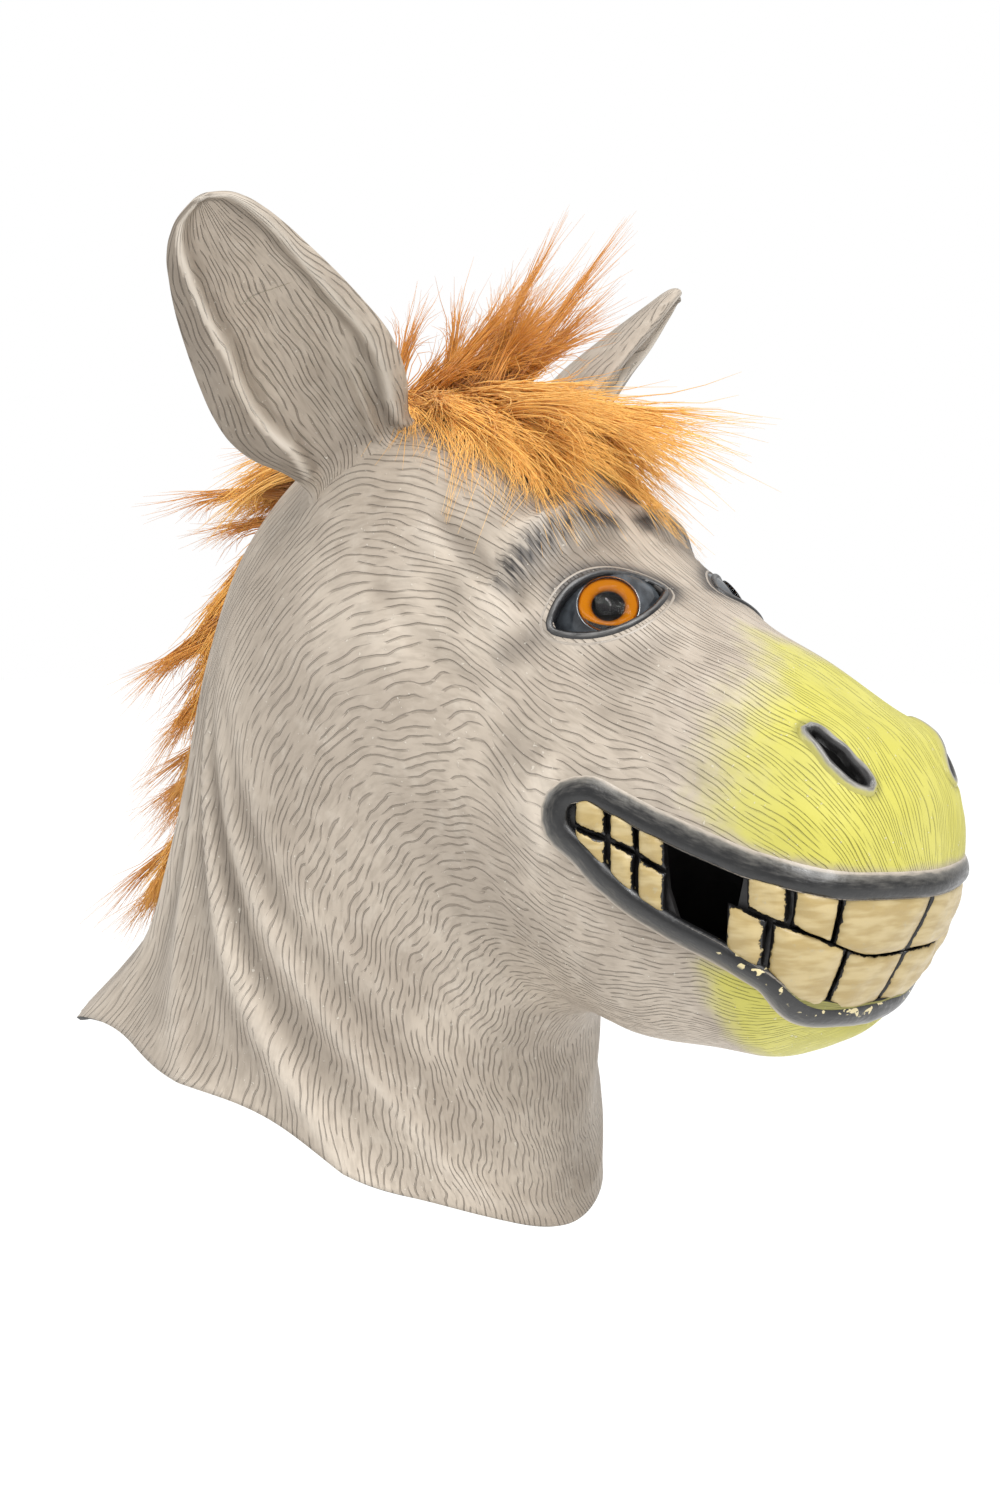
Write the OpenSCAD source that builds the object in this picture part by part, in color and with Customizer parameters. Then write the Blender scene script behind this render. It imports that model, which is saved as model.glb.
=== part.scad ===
// Full-head donkey mask of cast latex, worn over the head, with fur mane and toy-shop eyes.
// The mask faces -Y, its right side is -X, and its origin is the middle of the wearer's head.

/* [Skin] */
// Thickness of the cast latex skin
skin_wall = 2; // [1.5:0.5:4]
// Steps from the neck rim to the lips
steps_along = 42; // [32:2:60]
// Steps round the skin
steps_round = 36; // [32:4:56]
// How much higher the neck is cut at the throat than at the nape, in degrees of page
throat_cut = 13.5; // [6:0.5:18]

/* [Ears] */
// Length of an ear from its flex line to its tip
ear_length = 135; // [90:5:180]
// Radius of the latex root the ear flexes on
root_radius = 14; // [10:1:18]
// Gap between the root and the ear
root_gap = 0.5; // [0.3:0.1:1]
// Wall of the ear round its foam core
ear_wall = 2; // [1.2:0.2:3]

/* [Eyes] */
// Radius of the dome of the eye
eye_radius = 27; // [22:1:32]
// Diameter of the amber iris disc
iris_diameter = 23; // [16:1:28]

/* [Mouth] */
// Thickness of the dark liner behind the teeth
liner_wall = 2; // [1.5:0.5:3]
// How far the teeth stand out past the skin
tooth_relief = 0.4; // [0:0.2:2]

/* [Fur] */
// Half width of the mane strip
mane_half_width = 15; // [8:1:25]
// Thickness of the woven backing of the fur
backing = 1.6; // [1:0.2:3]

/* [Hidden] */

// The skin's sections fan out, like the pages of a book, from a line below the throat.
fan_forward = 145;
fan_up = -240;

// Each row: page angle, reach of the back profile, reach of the throat profile, half width,
// and squareness.
pages = [
    [164.5, 362,  56, 100, 2.0],
    [158,   338,  62, 95, 2.0],
    [152,   325,  70, 91, 2.0],
    [146,   327,  80, 89, 2.0],
    [137,   347,  93, 87, 2.0],
    [130,   376, 108, 87, 2.0],
    [123,   398, 126, 87, 2.0],
    [115,   406, 134, 85, 2.0],
    [108,   397, 132, 81, 2.1],
    [102,   370, 127, 76, 2.3],
    [98,    340, 124, 72, 2.5],
    [93,    308, 121, 67, 2.7],
    [87,    287, 120, 62, 2.7],
    [79,    273, 122, 59, 2.6],
    [70.6,  259, 126, 57, 2.5],
    [67,    249, 130, 55, 2.5],
    [65,    242, 134, 52, 2.5],
    [63.2,  232, 139, 46, 2.4],
    [61.6,  222, 144, 36, 2.3],
    [60.4,  214, 149, 24, 2.2],
    [59.8,  208, 153, 13, 2.2],
    [59.6,  202, 157, 2, 2.2],
];

// The open mouth from its corner to the front: upper edge forward and up, lower edge forward and up.
mouth_rows = [
    [133, -26, 135, -31],
    [143, -24, 142, -37],
    [153, -29, 150, -46],
    [167, -35, 162, -55.5],
    [184, -41, 178, -63.5],
    [206, -48, 198, -71],
    [226, -52, 217, -80.5],
    [240, -55.5, 229, -95.5],
    [275, -60, 275, -120],
];
mouth = concat(
    [for (r = mouth_rows) [r[0], r[1]]],
    [for (i = [len(mouth_rows) - 1:-1:0]) [mouth_rows[i][2], mouth_rows[i][3]]]
);

// Where the eye faces, and the centre of its dome.
eye_front = [-42, -134, 50];
eye_facing = [-0.69, -0.57, 0.45];
eye_stand_out = 3;
eye_centre = eye_front + eye_facing * (eye_stand_out - eye_radius);

// The ear's root, and its directions: along the ear, across it, and the way its hollow faces.
ear_root = [-54, -13, 114];
ear_along = [-0.733, -0.128, 0.668];
ear_across = [0.524, -0.733, 0.434];
ear_facing = [-0.434, -0.667, -0.606];

// Soft swellings of the skin, on both sides: middle, height, size along each axis.
swellings = [
    [[42, -134, 50], 4.5, [20, 20, 16]],
    [[48, -108, 78], 5, [17, 14, 9]],
    [[27, -116, 84], 4, [14, 12, 8]],
    [[36, -228, -4], 5, [13, 16, 14]],
    [[66, -120, -28], 3, [20, 16, 16]],
    [[50, -150, 22], -2.5, [16, 18, 14]],
    [[0, -205, 10], -2, [12, 30, 20]],
    [[80, -40, 30], 3, [30, 34, 40]],
    [[64, -80, 60], -3, [20, 14, 26]],
];

// Smooth value of one column of the page table at an angle.
function page_index(a, i = 0) =
    i >= len(pages) - 2 || a >= pages[i + 1][0] ? i : page_index(a, i + 1);
function slope(i, col) =
    let (lo = max(i - 1, 0), hi = min(i + 1, len(pages) - 1))
    (pages[hi][col] - pages[lo][col]) / (pages[hi][0] - pages[lo][0]);
function page(a, col) =
    let (i = page_index(a), p = pages[i], q = pages[i + 1], span = q[0] - p[0], t = (a - p[0]) / span)
    p[col] * (2 * t * t * t - 3 * t * t + 1) + slope(i, col) * span * (t * t * t - 2 * t * t + t)
    + q[col] * (3 * t * t - 2 * t * t * t) + slope(i + 1, col) * span * (t * t * t - t * t);

function signed_power(v, e) = sign(v) * pow(abs(v), e);

// A point of the page at angle a: side is along X, reach is the distance from the fan's line.
function on_page(a, side, reach) =
    [side, -(fan_forward + reach * cos(a)), fan_up + reach * sin(a)];
function page_middle(a) = (page(a, 1) + page(a, 2)) / 2;

// How far a place is from the edge of the mouth, seen from the side.
function to_segment(p, a, b) =
    let (d = b - a, t = max(0, min(1, (p - a) * d / (d * d))))
    norm(p - a - d * t);
function to_mouth(p) =
    min([for (i = [0:len(mouth) - 1]) to_segment(p, mouth[i], mouth[(i + 1) % len(mouth)])]);

function swelling(p, s) =
    let (d = [abs(p[0]) - s[0][0], p[1] - s[0][1], p[2] - s[0][2]])
    s[1] * exp(-(pow(d[0] / s[2][0], 2) + pow(d[1] / s[2][1], 2) + pow(d[2] / s[2][2], 2)));
function lip(p) =
    p[1] > -118 ? 0 : 2.2 * exp(-pow(to_mouth([-p[1], p[2]]) / 5.5, 2));

// Shallow folds fan down the neck and deepen towards the cut edge.
function neck_fold(a, phi) =
    a < 126 ? 0 :
    let (t = (a - 126) / 38, side = acos(cos(phi)))
    (1.8 * sin(side * 11 + a * 6) + 1.4 * sin(side * 6 - a * 9)) * t * sin(side) * (0.5 + side / 180);
function relief(p, a, phi) =
    lip(p) + neck_fold(a, phi) + [for (s = swellings) swelling(p, s)] * [for (s = swellings) 1];

// The outer surface less an inset, at page angle a and round the page by phi.
function skin_point(a, phi, inset = 0) =
    let (
        half = (page(a, 1) - page(a, 2)) / 2,
        power = 2 / page(a, 4),
        c = signed_power(cos(phi), power),
        s = signed_power(sin(phi), power),
        flat = [-page(a, 3) * s, half * c],
        size = norm(flat),
        p = on_page(a, flat[0], page_middle(a) + flat[1]),
        grown = flat * (max(0.2, size + relief(p, a, phi) - inset) / size)
    )
    on_page(a, grown[0], page_middle(a) + grown[1]);

first_angle = pages[0][0];
last_angle = pages[len(pages) - 1][0];
function rim_cut(phi) =
    throat_cut * (1 - cos(phi)) / 2 + 3.75 * pow(sin(phi), 2) + 0.7 * cos(phi * 7);

// Rows lie closer together towards the lips.
function row_angle(i, phi, lead = 0) =
    let (
        t = i / steps_along,
        start = first_angle - rim_cut(phi) * pow(1 - t, 2),
        u = t + 0.35 * t * (1 - t)
    )
    start + (last_angle - first_angle) * u + (i == 0 ? lead : 0);

function round_step(j) = -360 * j / steps_round;

// The face of a solid made of rings of points, closed at both ends.
module rings(points, m, n) {
    polyhedron(
        points = points,
        faces = concat(
            [for (i = [0:m - 1], j = [0:n - 1])
                [i * n + j, i * n + (j + 1) % n, (i + 1) * n + (j + 1) % n]],
            [for (i = [0:m - 1], j = [0:n - 1])
                [i * n + j, (i + 1) * n + (j + 1) % n, (i + 1) * n + j]],
            [[for (j = [n - 1:-1:0]) j]],
            [[for (j = [0:n - 1]) m * n + j]]
        )
    );
}

// The solid head inside an inset of the outer surface, longer than the skin at the neck by lead.
module head_solid(inset = 0, lead = 0, tip = 0) {
    n = steps_round;
    m = steps_along - tip;
    rings([for (i = [0:m], j = [0:n - 1])
        skin_point(row_angle(i, round_step(j), lead), round_step(j), inset)], m, n);
}

module shell() {
    n = steps_round;
    m = steps_along;
    outer = [for (i = [0:m], j = [0:n - 1]) skin_point(row_angle(i, round_step(j)), round_step(j))];
    inner = [for (i = [0:m - 3], j = [0:n - 1])
        skin_point(row_angle(i, round_step(j)), round_step(j), skin_wall)];
    count = len(outer);
    function o(i, j) = i * n + j % n;
    function k(i, j) = count + i * n + j % n;
    polyhedron(
        points = concat(outer, inner),
        faces = concat(
            [for (i = [0:m - 1], j = [0:n - 1]) [o(i, j), o(i, j + 1), o(i + 1, j + 1)]],
            [for (i = [0:m - 1], j = [0:n - 1]) [o(i, j), o(i + 1, j + 1), o(i + 1, j)]],
            [for (i = [0:m - 4], j = [0:n - 1]) [k(i, j), k(i + 1, j + 1), k(i, j + 1)]],
            [for (i = [0:m - 4], j = [0:n - 1]) [k(i, j), k(i + 1, j), k(i + 1, j + 1)]],
            [for (j = [0:n - 1]) [o(0, j), k(0, j), k(0, j + 1), o(0, j + 1)]],
            [[for (j = [0:n - 1]) o(m, j)]],
            [[for (j = [n - 1:-1:0]) k(m - 3, j)]]
        )
    );
}

// Puts a thing built along Z, facing X, on three given directions at a given place.
module placed(at, x, y, z) {
    multmatrix([
        [x[0], y[0], z[0], at[0]],
        [x[1], y[1], z[1], at[1]],
        [x[2], y[2], z[2], at[2]],
        [0, 0, 0, 1]
    ])
        children();
}
module on_ear() {
    placed(ear_root, ear_facing, ear_across, ear_along)
        children();
}
function eye_side() = let (s = cross(eye_facing, [0, 0, 1])) s / norm(s);
module on_eye() {
    f = eye_facing / norm(eye_facing);
    s = eye_side();
    placed(eye_centre, s, cross(f, s), f)
        children();
}

// A rod across the whole mouth, seen from the side at a distance forward and up.
module rod(forward, up, r) {
    translate([0, -forward, up])
        rotate([0, 90, 0])
            cylinder(h = 190, r = r, center = true, $fn = 12);
}
// The mouth, right through from side to side, grown by r past its rows.
module mouth_band(r) {
    for (i = [0:len(mouth_rows) - 2])
        hull()
            for (row = [mouth_rows[i], mouth_rows[i + 1]]) {
                rod(row[0], row[1], r);
                rod(row[2], row[3], r);
            }
}

// The almond opening between the lids.
module lid_opening() {
    on_eye()
        rotate([0, 0, 26])
            intersection() {
                translate([0, 17.5, 0])
                    cylinder(h = 60, r = 30, $fn = 60);
                translate([0, -17.5, 0])
                    cylinder(h = 60, r = 30, $fn = 60);
            }
}

module nostril_cut() {
    hull() {
        translate([-41, -220, 5])
            sphere(r = 2.2, $fn = 14);
        translate([-20, -206, 1])
            sphere(r = 2.2, $fn = 14);
        translate([-32, -244, -15])
            sphere(r = 2.2, $fn = 14);
        translate([-14, -226, -15])
            sphere(r = 2.2, $fn = 14);
    }
}

module ear_root_boss() {
    on_ear()
        hull() {
            rotate([90, 0, 0])
                cylinder(h = 46, r = root_radius, center = true, $fn = 24);
            translate([0, 0, -26])
                rotate([90, 0, 0])
                    cylinder(h = 36, r = root_radius + 2, center = true, $fn = 24);
        }
}

module both_sides() {
    children();
    mirror([1, 0, 0])
        children();
}

module head_skin() {
    color("#a39b8d")
        difference() {
            union() {
                shell();
                difference() {
                    both_sides()
                        ear_root_boss();
                    head_solid(inset = skin_wall - 0.2, lead = 4, tip = 4);
                }
            }
            mouth_band(1);
            both_sides() {
                lid_opening();
                nostril_cut();
                translate(eye_centre)
                    sphere(r = eye_radius + 0.4, $fn = 28);
            }
        }
}

// Ear outline: share of the length, half width, sideways offset, hollow, half thickness.
ear_rows = [
    [0.00, 24, 0, 3, 9],
    [0.08, 27, 0, 7, 8],
    [0.16, 31, 0, 11, 6.5],
    [0.26, 33.5, 0, 13, 5.4],
    [0.38, 33.5, 0, 13, 4.8],
    [0.50, 31.5, -1.5, 11, 4.5],
    [0.62, 28.5, -2.5, 9, 4.2],
    [0.73, 24.5, -4, 7, 3.8],
    [0.82, 20, -5, 5, 3.4],
    [0.89, 15.5, -5.5, 3.5, 3],
    [0.95, 10, -4.5, 2, 2.6],
    [0.985, 5, -3, 1, 2.2],
    [1.00, 1, -2, 0, 1],
];
function ear_point(row, phi, inset) =
    let (
        w = row[1] - inset,
        u = w * cos(phi),
        v = (row[4] - inset) * sin(phi),
        bend = row[3] * (1 - pow(u / row[1], 2))
    )
    [v - bend + row[3] * 0.4, u + row[2], row[0] * ear_length];
module ear_body(inset = 0, first = 0, last = len(ear_rows) - 1) {
    n = 28;
    rings([for (i = [first:last], j = [0:n - 1]) ear_point(ear_rows[i], 360 * j / n, inset)],
        last - first, n);
}
// The rolled rim along both edges of the ear.
module ear_rim() {
    for (phi = [0, 180], i = [1:len(ear_rows) - 2])
        hull()
            for (k = [i, i + 1])
                translate(ear_point(ear_rows[k], phi, 1.5))
                    sphere(r = k == len(ear_rows) - 1 ? 1.5 : 2.6, $fn = 8);
}
module ear_bore() {
    rotate([90, 0, 0])
        cylinder(h = 90, r = root_radius + root_gap, center = true, $fn = 96);
}

module right_ear() {
    color("#a89f91")
        on_ear()
            difference() {
                union() {
                    ear_body();
                    ear_rim();
                }
                ear_bore();
                ear_body(ear_wall, 1, 7);
            }
}
module left_ear() {
    mirror([1, 0, 0])
        right_ear();
}
module right_ear_core() {
    color("#d8d2c0")
        on_ear()
            difference() {
                ear_body(ear_wall + 0.1, 1, 7);
                rotate([90, 0, 0])
                    cylinder(h = 90, r = root_radius + root_gap + 1.5, center = true, $fn = 96);
            }
}
module left_ear_core() {
    mirror([1, 0, 0])
        right_ear_core();
}

iris_radius = iris_diameter / 2;
// Height above the dome's centre of the flat seat the iris lies on.
iris_seat = sqrt(pow(eye_radius, 2) - pow(iris_radius, 2)) - 1.2;
dome_base = eye_radius * 0.45;
module right_eye_shell() {
    color("#3a3c3e")
        on_eye()
            difference() {
                sphere(r = eye_radius, $fn = 96);
                sphere(r = eye_radius - 2, $fn = 96);
                translate([0, 0, dome_base - eye_radius * 2])
                    cylinder(h = eye_radius * 2, r = eye_radius * 2);
                translate([0, 0, iris_seat])
                    cylinder(h = eye_radius, r = iris_radius + 0.2, $fn = 96);
            }
}
module left_eye_shell() {
    mirror([1, 0, 0])
        right_eye_shell();
}
module right_iris_disc() {
    color("#d98a1c")
        on_eye()
            translate([0, 0, iris_seat - 1])
                difference() {
                    cylinder(h = 1.6, r = iris_radius, $fn = 96);
                    translate([0, 0, 1])
                        cylinder(h = 2, r = iris_radius * 0.55, $fn = 64);
                    translate([0, 0, -0.1])
                        difference() {
                            cylinder(h = 1.1, r = iris_radius * 2, $fn = 96);
                            sphere(r = 0.1);
                            translate([0, 0, -1])
                                cylinder(h = 4, r = iris_radius - 3.5, $fn = 96);
                        }
                }
}
module left_iris_disc() {
    mirror([1, 0, 0])
        right_iris_disc();
}
module right_eye_lens() {
    color("#1a1512")
        on_eye()
            intersection() {
                translate([0, 0, iris_seat + 0.6])
                    cylinder(h = eye_radius, r = iris_radius, $fn = 96);
                translate([0, 0, 3])
                    sphere(r = eye_radius - 1.6, $fn = 96);
            }
}
module left_eye_lens() {
    mirror([1, 0, 0])
        right_eye_lens();
}

// A prism over the side view, from the middle plane outwards over both sides.
module side_prism(outline, half = 90) {
    rotate([90, 0, 90])
        linear_extrude(height = half * 2, center = true)
            polygon([for (p = outline) [-p[0], p[1]]]);
}
// The missing teeth: the liner is cut away here to see and breathe through.
module tooth_gap(grow = 0) {
    side_prism([
        [172 - grow, -37], [206 + grow, -43], [199 + grow, -75], [180 - grow, -69], [174 - grow, -54]
    ]);
}

module gum_liner() {
    color("#1d1c1d")
        difference() {
            intersection() {
                head_solid(inset = skin_wall + 0.2, tip = 4);
                mouth_band(7);
            }
            head_solid(inset = skin_wall + 0.2 + liner_wall, lead = 3, tip = 5);
            difference() {
                tooth_gap();
                translate([-32, -280, -150])
                    cube([64, 90, 150]);
            }
        }
}

// The line between the upper and the lower row of teeth.
bite = [
    [128, -28], [142, -34], [154, -38], [167, -44], [184, -52], [206, -58], [226, -65], [236, -78],
    [275, -95]
];
function bite_at(x, i = 0) =
    i >= len(bite) - 2 || x < bite[i + 1][0]
        ? bite[i][1] + (bite[i + 1][1] - bite[i][1]) * (x - bite[i][0]) / (bite[i + 1][0] - bite[i][0])
        : bite_at(x, i + 1);

// The teeth stand a glue line off the liner's face.
liner_face = skin_wall - 0.2;
// The layer the teeth fill, between the liner and just past the skin.
module tooth_layer() {
    difference() {
        head_solid(inset = -tooth_relief);
        head_solid(inset = liner_face, lead = 3, tip = 4);
    }
}
// The stretch of the rows of teeth between two distances forward, and two heights from the bite.
module row_span(from, to, high, low) {
    stops = concat([from], [for (b = bite) if (b[0] > from && b[0] < to) b[0]], [to]);
    n = len(stops) - 1;
    side_prism(concat(
        [for (i = [0:n]) [stops[i], bite_at(stops[i]) + high]],
        [for (i = [n:-1:0]) [stops[i], bite_at(stops[i]) + low]]
    ));
}
// A group of teeth; the children cut the dark gaps between them, down to the strip they share.
module tooth_group(from, to, high, low) {
    difference() {
        intersection() {
            tooth_layer();
            mouth_band(0.4);
            row_span(from, to, high, low);
        }
        difference() {
            union()
                children();
            head_solid(inset = liner_face - 0.9, tip = 3);
        }
    }
}
gap = 0.8;
module gap_at(forward) {
    translate([-100, -forward - gap / 2, bite_at(forward) - 30])
        cube([200, gap, 60]);
}
module gap_beside(side) {
    both_sides()
        translate([side - gap / 2, -300, -150])
            cube([gap, 100, 150]);
}

// Three teeth behind the missing ones, on the right.
module back_teeth(high, low) {
    color("#cfc096")
        intersection() {
            translate([-100, -300, -150])
                cube([100, 200, 150]);
            tooth_group(137, 173.5, high, low) {
                gap_at(150);
                gap_at(161);
            }
        }
}
module right_upper_back_teeth() {
    back_teeth(20, gap / 2);
}
module left_upper_back_teeth() {
    mirror([1, 0, 0])
        back_teeth(20, gap / 2);
}
module right_lower_back_teeth() {
    back_teeth(-gap / 2, -20);
}
module left_lower_back_teeth() {
    mirror([1, 0, 0])
        back_teeth(-gap / 2, -20);
}
module upper_front_teeth() {
    color("#cfc096")
        tooth_group(206, 275, 24, gap / 2) {
            gap_at(226);
            gap_beside(0);
            gap_beside(43);
        }
}
module lower_front_teeth() {
    color("#cfc096")
        tooth_group(198, 275, -gap / 2, -32) {
            gap_at(216);
            gap_beside(0);
            gap_beside(33);
        }
}

// A patch of cloth lying on the skin between two page angles and within a width.
function round_at(a, side) =
    let (w = page(a, 3), s = min(0.98, side / w))
    asin(sign(s) * pow(abs(s), page(a, 4) / 2));
module patch(angles, sides, low, high) {
    m = len(angles) - 1;
    k = len(sides[0]) - 1;
    n = 2 * k + 2;
    rings([for (i = [0:m])
        each concat(
            [for (j = [0:k]) skin_point(angles[i], -round_at(angles[i], sides[i][j]), -high)],
            [for (j = [k:-1:0]) skin_point(angles[i], -round_at(angles[i], sides[i][j]), -low)]
        )], m, n);
}
function spread(half) = [for (j = [-4:4]) half * j / 4];

forelock_angles = [112.5, 111.5, 110, 108, 106, 104, 102.5, 101.5];
forelock_widths = [10, 20, 27, 31, 31, 28, 20, 10];
module forelock_backing() {
    color("#6b4a22")
        patch(forelock_angles, [for (w = forelock_widths) spread(w)], 0.5, 0.5 + backing);
}
mane_angles = [for (i = [0:14]) 148 - 2.4 * i];
function mane_width(i) = mane_half_width * (i == 0 || i == 14 ? 0.5 : 1);
module mane_backing() {
    color("#6b4a22")
        patch(mane_angles, [for (i = [0:14]) spread(mane_width(i))], 0.5, 0.5 + backing);
}

// A tuft of fur from a place in the fur to a point in the air.
module tuft(from, to, thick) {
    hull() {
        translate(from)
            sphere(r = thick, $fn = 12);
        translate(to)
            sphere(r = 1.5, $fn = 8);
    }
}
module fur_bed(angles, widths, thick) {
    patch(angles, [for (w = widths) spread(w)], 0.6 + backing, 0.6 + backing + thick);
}
// A place in the middle of the fur bed.
function in_bed(a, side, thick) = skin_point(a, -round_at(a, side), -0.6 - backing - thick / 2);

forelock_depth = 13;
// Each tuft: page angle and side of its root, then how far it reaches out, to the left and up.
forelock_tufts = [
    [111, -6, [-10, 22, 52]], [108, 8, [14, 4, 58]], [107, -14, [-16, -4, 46]],
    [105, 14, [20, -14, 42]], [106, -2, [2, -62, 12]], [104, 10, [16, -74, -8]],
    [104, -12, [-14, -66, -22]], [104, 20, [22, -56, -34]], [105, -22, [-24, -50, -34]],
];
module forelock_fur() {
    color("#d9832a")
        difference() {
            union() {
                fur_bed(forelock_angles, forelock_widths, forelock_depth);
                for (t = forelock_tufts) {
                    root = in_bed(t[0], t[1], forelock_depth);
                    tuft(root, root + t[2], 6);
                }
            }
            patch(forelock_angles, [for (w = forelock_widths) spread(w + 1)], -1, 0.65 + backing);
        }
}
mane_depth = 12;
module mane_fur() {
    color("#d9832a") {
        fur_bed(mane_angles, [for (i = [0:14]) mane_width(i)], mane_depth);
        for (i = [0:7]) {
            a = 144 - 4 * i;
            side = (i % 2) * 14 - 7;
            root = in_bed(a, side, mane_depth);
            tuft(root, root + [side, 30 * sin(a - 60), 4 - 0.6 * (a - 116)], 5.5);
        }
    }
}

head_skin();
right_ear();
left_ear();
right_ear_core();
left_ear_core();
right_eye_shell();
left_eye_shell();
right_iris_disc();
left_iris_disc();
right_eye_lens();
left_eye_lens();
gum_liner();
right_upper_back_teeth();
left_upper_back_teeth();
right_lower_back_teeth();
left_lower_back_teeth();
upper_front_teeth();
lower_front_teeth();
forelock_backing();
forelock_fur();
mane_backing();
mane_fur();
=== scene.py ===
import math

import bmesh
import bpy
import numpy as np
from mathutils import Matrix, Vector, noise
from mathutils.bvhtree import BVHTree


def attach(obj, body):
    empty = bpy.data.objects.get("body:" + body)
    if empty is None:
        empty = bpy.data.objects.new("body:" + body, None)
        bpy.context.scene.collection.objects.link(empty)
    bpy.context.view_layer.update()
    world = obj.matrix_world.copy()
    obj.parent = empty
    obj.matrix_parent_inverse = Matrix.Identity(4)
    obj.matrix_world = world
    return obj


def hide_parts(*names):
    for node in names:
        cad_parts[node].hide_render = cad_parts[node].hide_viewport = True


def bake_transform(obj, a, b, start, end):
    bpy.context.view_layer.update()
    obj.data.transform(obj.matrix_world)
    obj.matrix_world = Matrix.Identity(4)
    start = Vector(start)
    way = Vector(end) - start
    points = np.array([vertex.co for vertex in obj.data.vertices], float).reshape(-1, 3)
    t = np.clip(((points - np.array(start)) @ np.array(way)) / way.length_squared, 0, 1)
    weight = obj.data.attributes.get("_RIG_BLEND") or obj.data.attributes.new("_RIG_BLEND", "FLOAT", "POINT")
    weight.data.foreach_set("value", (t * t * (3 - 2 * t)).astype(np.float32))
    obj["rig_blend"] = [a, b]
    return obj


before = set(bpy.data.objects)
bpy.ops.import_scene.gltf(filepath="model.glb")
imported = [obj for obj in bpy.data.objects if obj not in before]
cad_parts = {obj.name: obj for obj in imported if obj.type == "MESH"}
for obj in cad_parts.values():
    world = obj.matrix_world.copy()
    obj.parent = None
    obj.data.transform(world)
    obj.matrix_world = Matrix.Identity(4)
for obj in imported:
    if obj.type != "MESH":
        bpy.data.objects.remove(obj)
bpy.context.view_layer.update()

MM = 0.001
rng = np.random.default_rng(7)


# ---------------------------------------------------------------- colours and nodes
def linear(code):
    """A hex sRGB colour as linear red, green, blue and 1."""
    parts = [int(code[i:i + 2], 16) / 255 for i in (1, 3, 5)]
    return (*[c / 12.92 if c <= 0.04045 else ((c + 0.055) / 1.055) ** 2.4 for c in parts], 1.0)


def add(tree, kind, settings=None, **sockets):
    """A node with its settings, and its sockets set or linked; i0, i1 are sockets by number."""
    node = tree.nodes.new("ShaderNode" + kind)
    for key, value in (settings or {}).items():
        setattr(node, key, value)
    for key, value in sockets.items():
        by_number = key[0] == "i" and key[1:].isdigit()
        socket = node.inputs[int(key[1:]) if by_number else key.replace("_", " ")]
        if isinstance(value, bpy.types.NodeSocket):
            tree.links.new(value, socket)
        else:
            socket.default_value = value
    return node


def new_material(name):
    """A material and its node tree, emptied."""
    material = bpy.data.materials.new(name)
    material.use_nodes = True
    material.node_tree.nodes.clear()
    return material, material.node_tree


def finished(material, shader):
    """The material, with a shader at its output."""
    add(material.node_tree, "OutputMaterial", Surface=shader.outputs[0])
    return material


def coated(material, colour, rough, normal, **more):
    """The material, finished with the principled shader."""
    shader = add(material.node_tree, "BsdfPrincipled", Base_Color=colour, Roughness=rough, Normal=normal, **more)
    return finished(material, shader)


def mixed(tree, share, low, high):
    """Two colours mixed by a share; each colour is a hex code or a socket."""
    low = linear(low) if isinstance(low, str) else low
    high = linear(high) if isinstance(high, str) else high
    return add(tree, "Mix", {"data_type": "RGBA"}, i0=share, i6=low, i7=high).outputs[2]


def ranged(tree, value, low, high, to_low=0.0, to_high=1.0):
    """A value taken from one range smoothly to another, and kept inside it."""
    return add(tree, "MapRange", {"interpolation_type": "SMOOTHSTEP"}, i0=value, i1=low, i2=high,
               i3=to_low, i4=to_high).outputs[0]


def maths(tree, kind, first, second=0.0):
    return add(tree, "Math", {"operation": kind}, i0=first, i1=second).outputs[0]


def uneven(tree, value, by, amount):
    """A value pushed up and down by a grain."""
    return maths(tree, "ADD", value, maths(tree, "MULTIPLY", maths(tree, "SUBTRACT", by, 0.5), amount))


def place_of(tree, *size_mm):
    """Object coordinates counted in steps of a size in millimetres, or of one for each axis."""
    sizes = size_mm * 3 if len(size_mm) == 1 else size_mm
    coordinates = add(tree, "TexCoord").outputs["Object"]
    return add(tree, "Mapping", Vector=coordinates, Scale=[1000 / s for s in sizes]).outputs[0]


def flow_of(tree, across_mm, along_mm):
    """The piece's own UVs, in millimetres, counted in steps across and along."""
    uv = add(tree, "UVMap", {"uv_map": "flow"}).outputs[0]
    return add(tree, "Mapping", Vector=uv, Scale=(1 / across_mm, 1 / along_mm, 1)).outputs[0]


def grain(tree, vector, detail=2.0, rough=0.5):
    return add(tree, "TexNoise", Vector=vector, Scale=1.0, Detail=detail, Roughness=rough).outputs["Fac"]


def attribute(tree, name):
    return add(tree, "Attribute", {"attribute_name": name}).outputs["Fac"]


def bumped(tree, height, depth_mm, strength=1.0, below=None):
    more = {"Normal": below} if below is not None else {}
    return add(tree, "Bump", Height=height, Distance=depth_mm * MM, Strength=strength, **more).outputs[0]


def hair_lines(tree):
    """Sculpted hair: fine broken furrows side by side, running the way the coat lies; 0 in a furrow."""
    wander = grain(tree, flow_of(tree, 30, 44), 1)
    waver = grain(tree, flow_of(tree, 5, 13), 1)
    across = add(tree, "SeparateXYZ", i0=flow_of(tree, 2.2, 1)).outputs[0]
    across = maths(tree, "ADD", across, maths(tree, "MULTIPLY", wander, 7.0))
    across = maths(tree, "ADD", across, maths(tree, "MULTIPLY", waver, 0.9))
    furrow = ranged(tree, maths(tree, "PINGPONG", across, 0.5), 0.02, 0.14)
    breaks = ranged(tree, grain(tree, flow_of(tree, 2.6, 17), 1), 0.48, 0.60)
    return maths(tree, "MAXIMUM", furrow, breaks)


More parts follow.
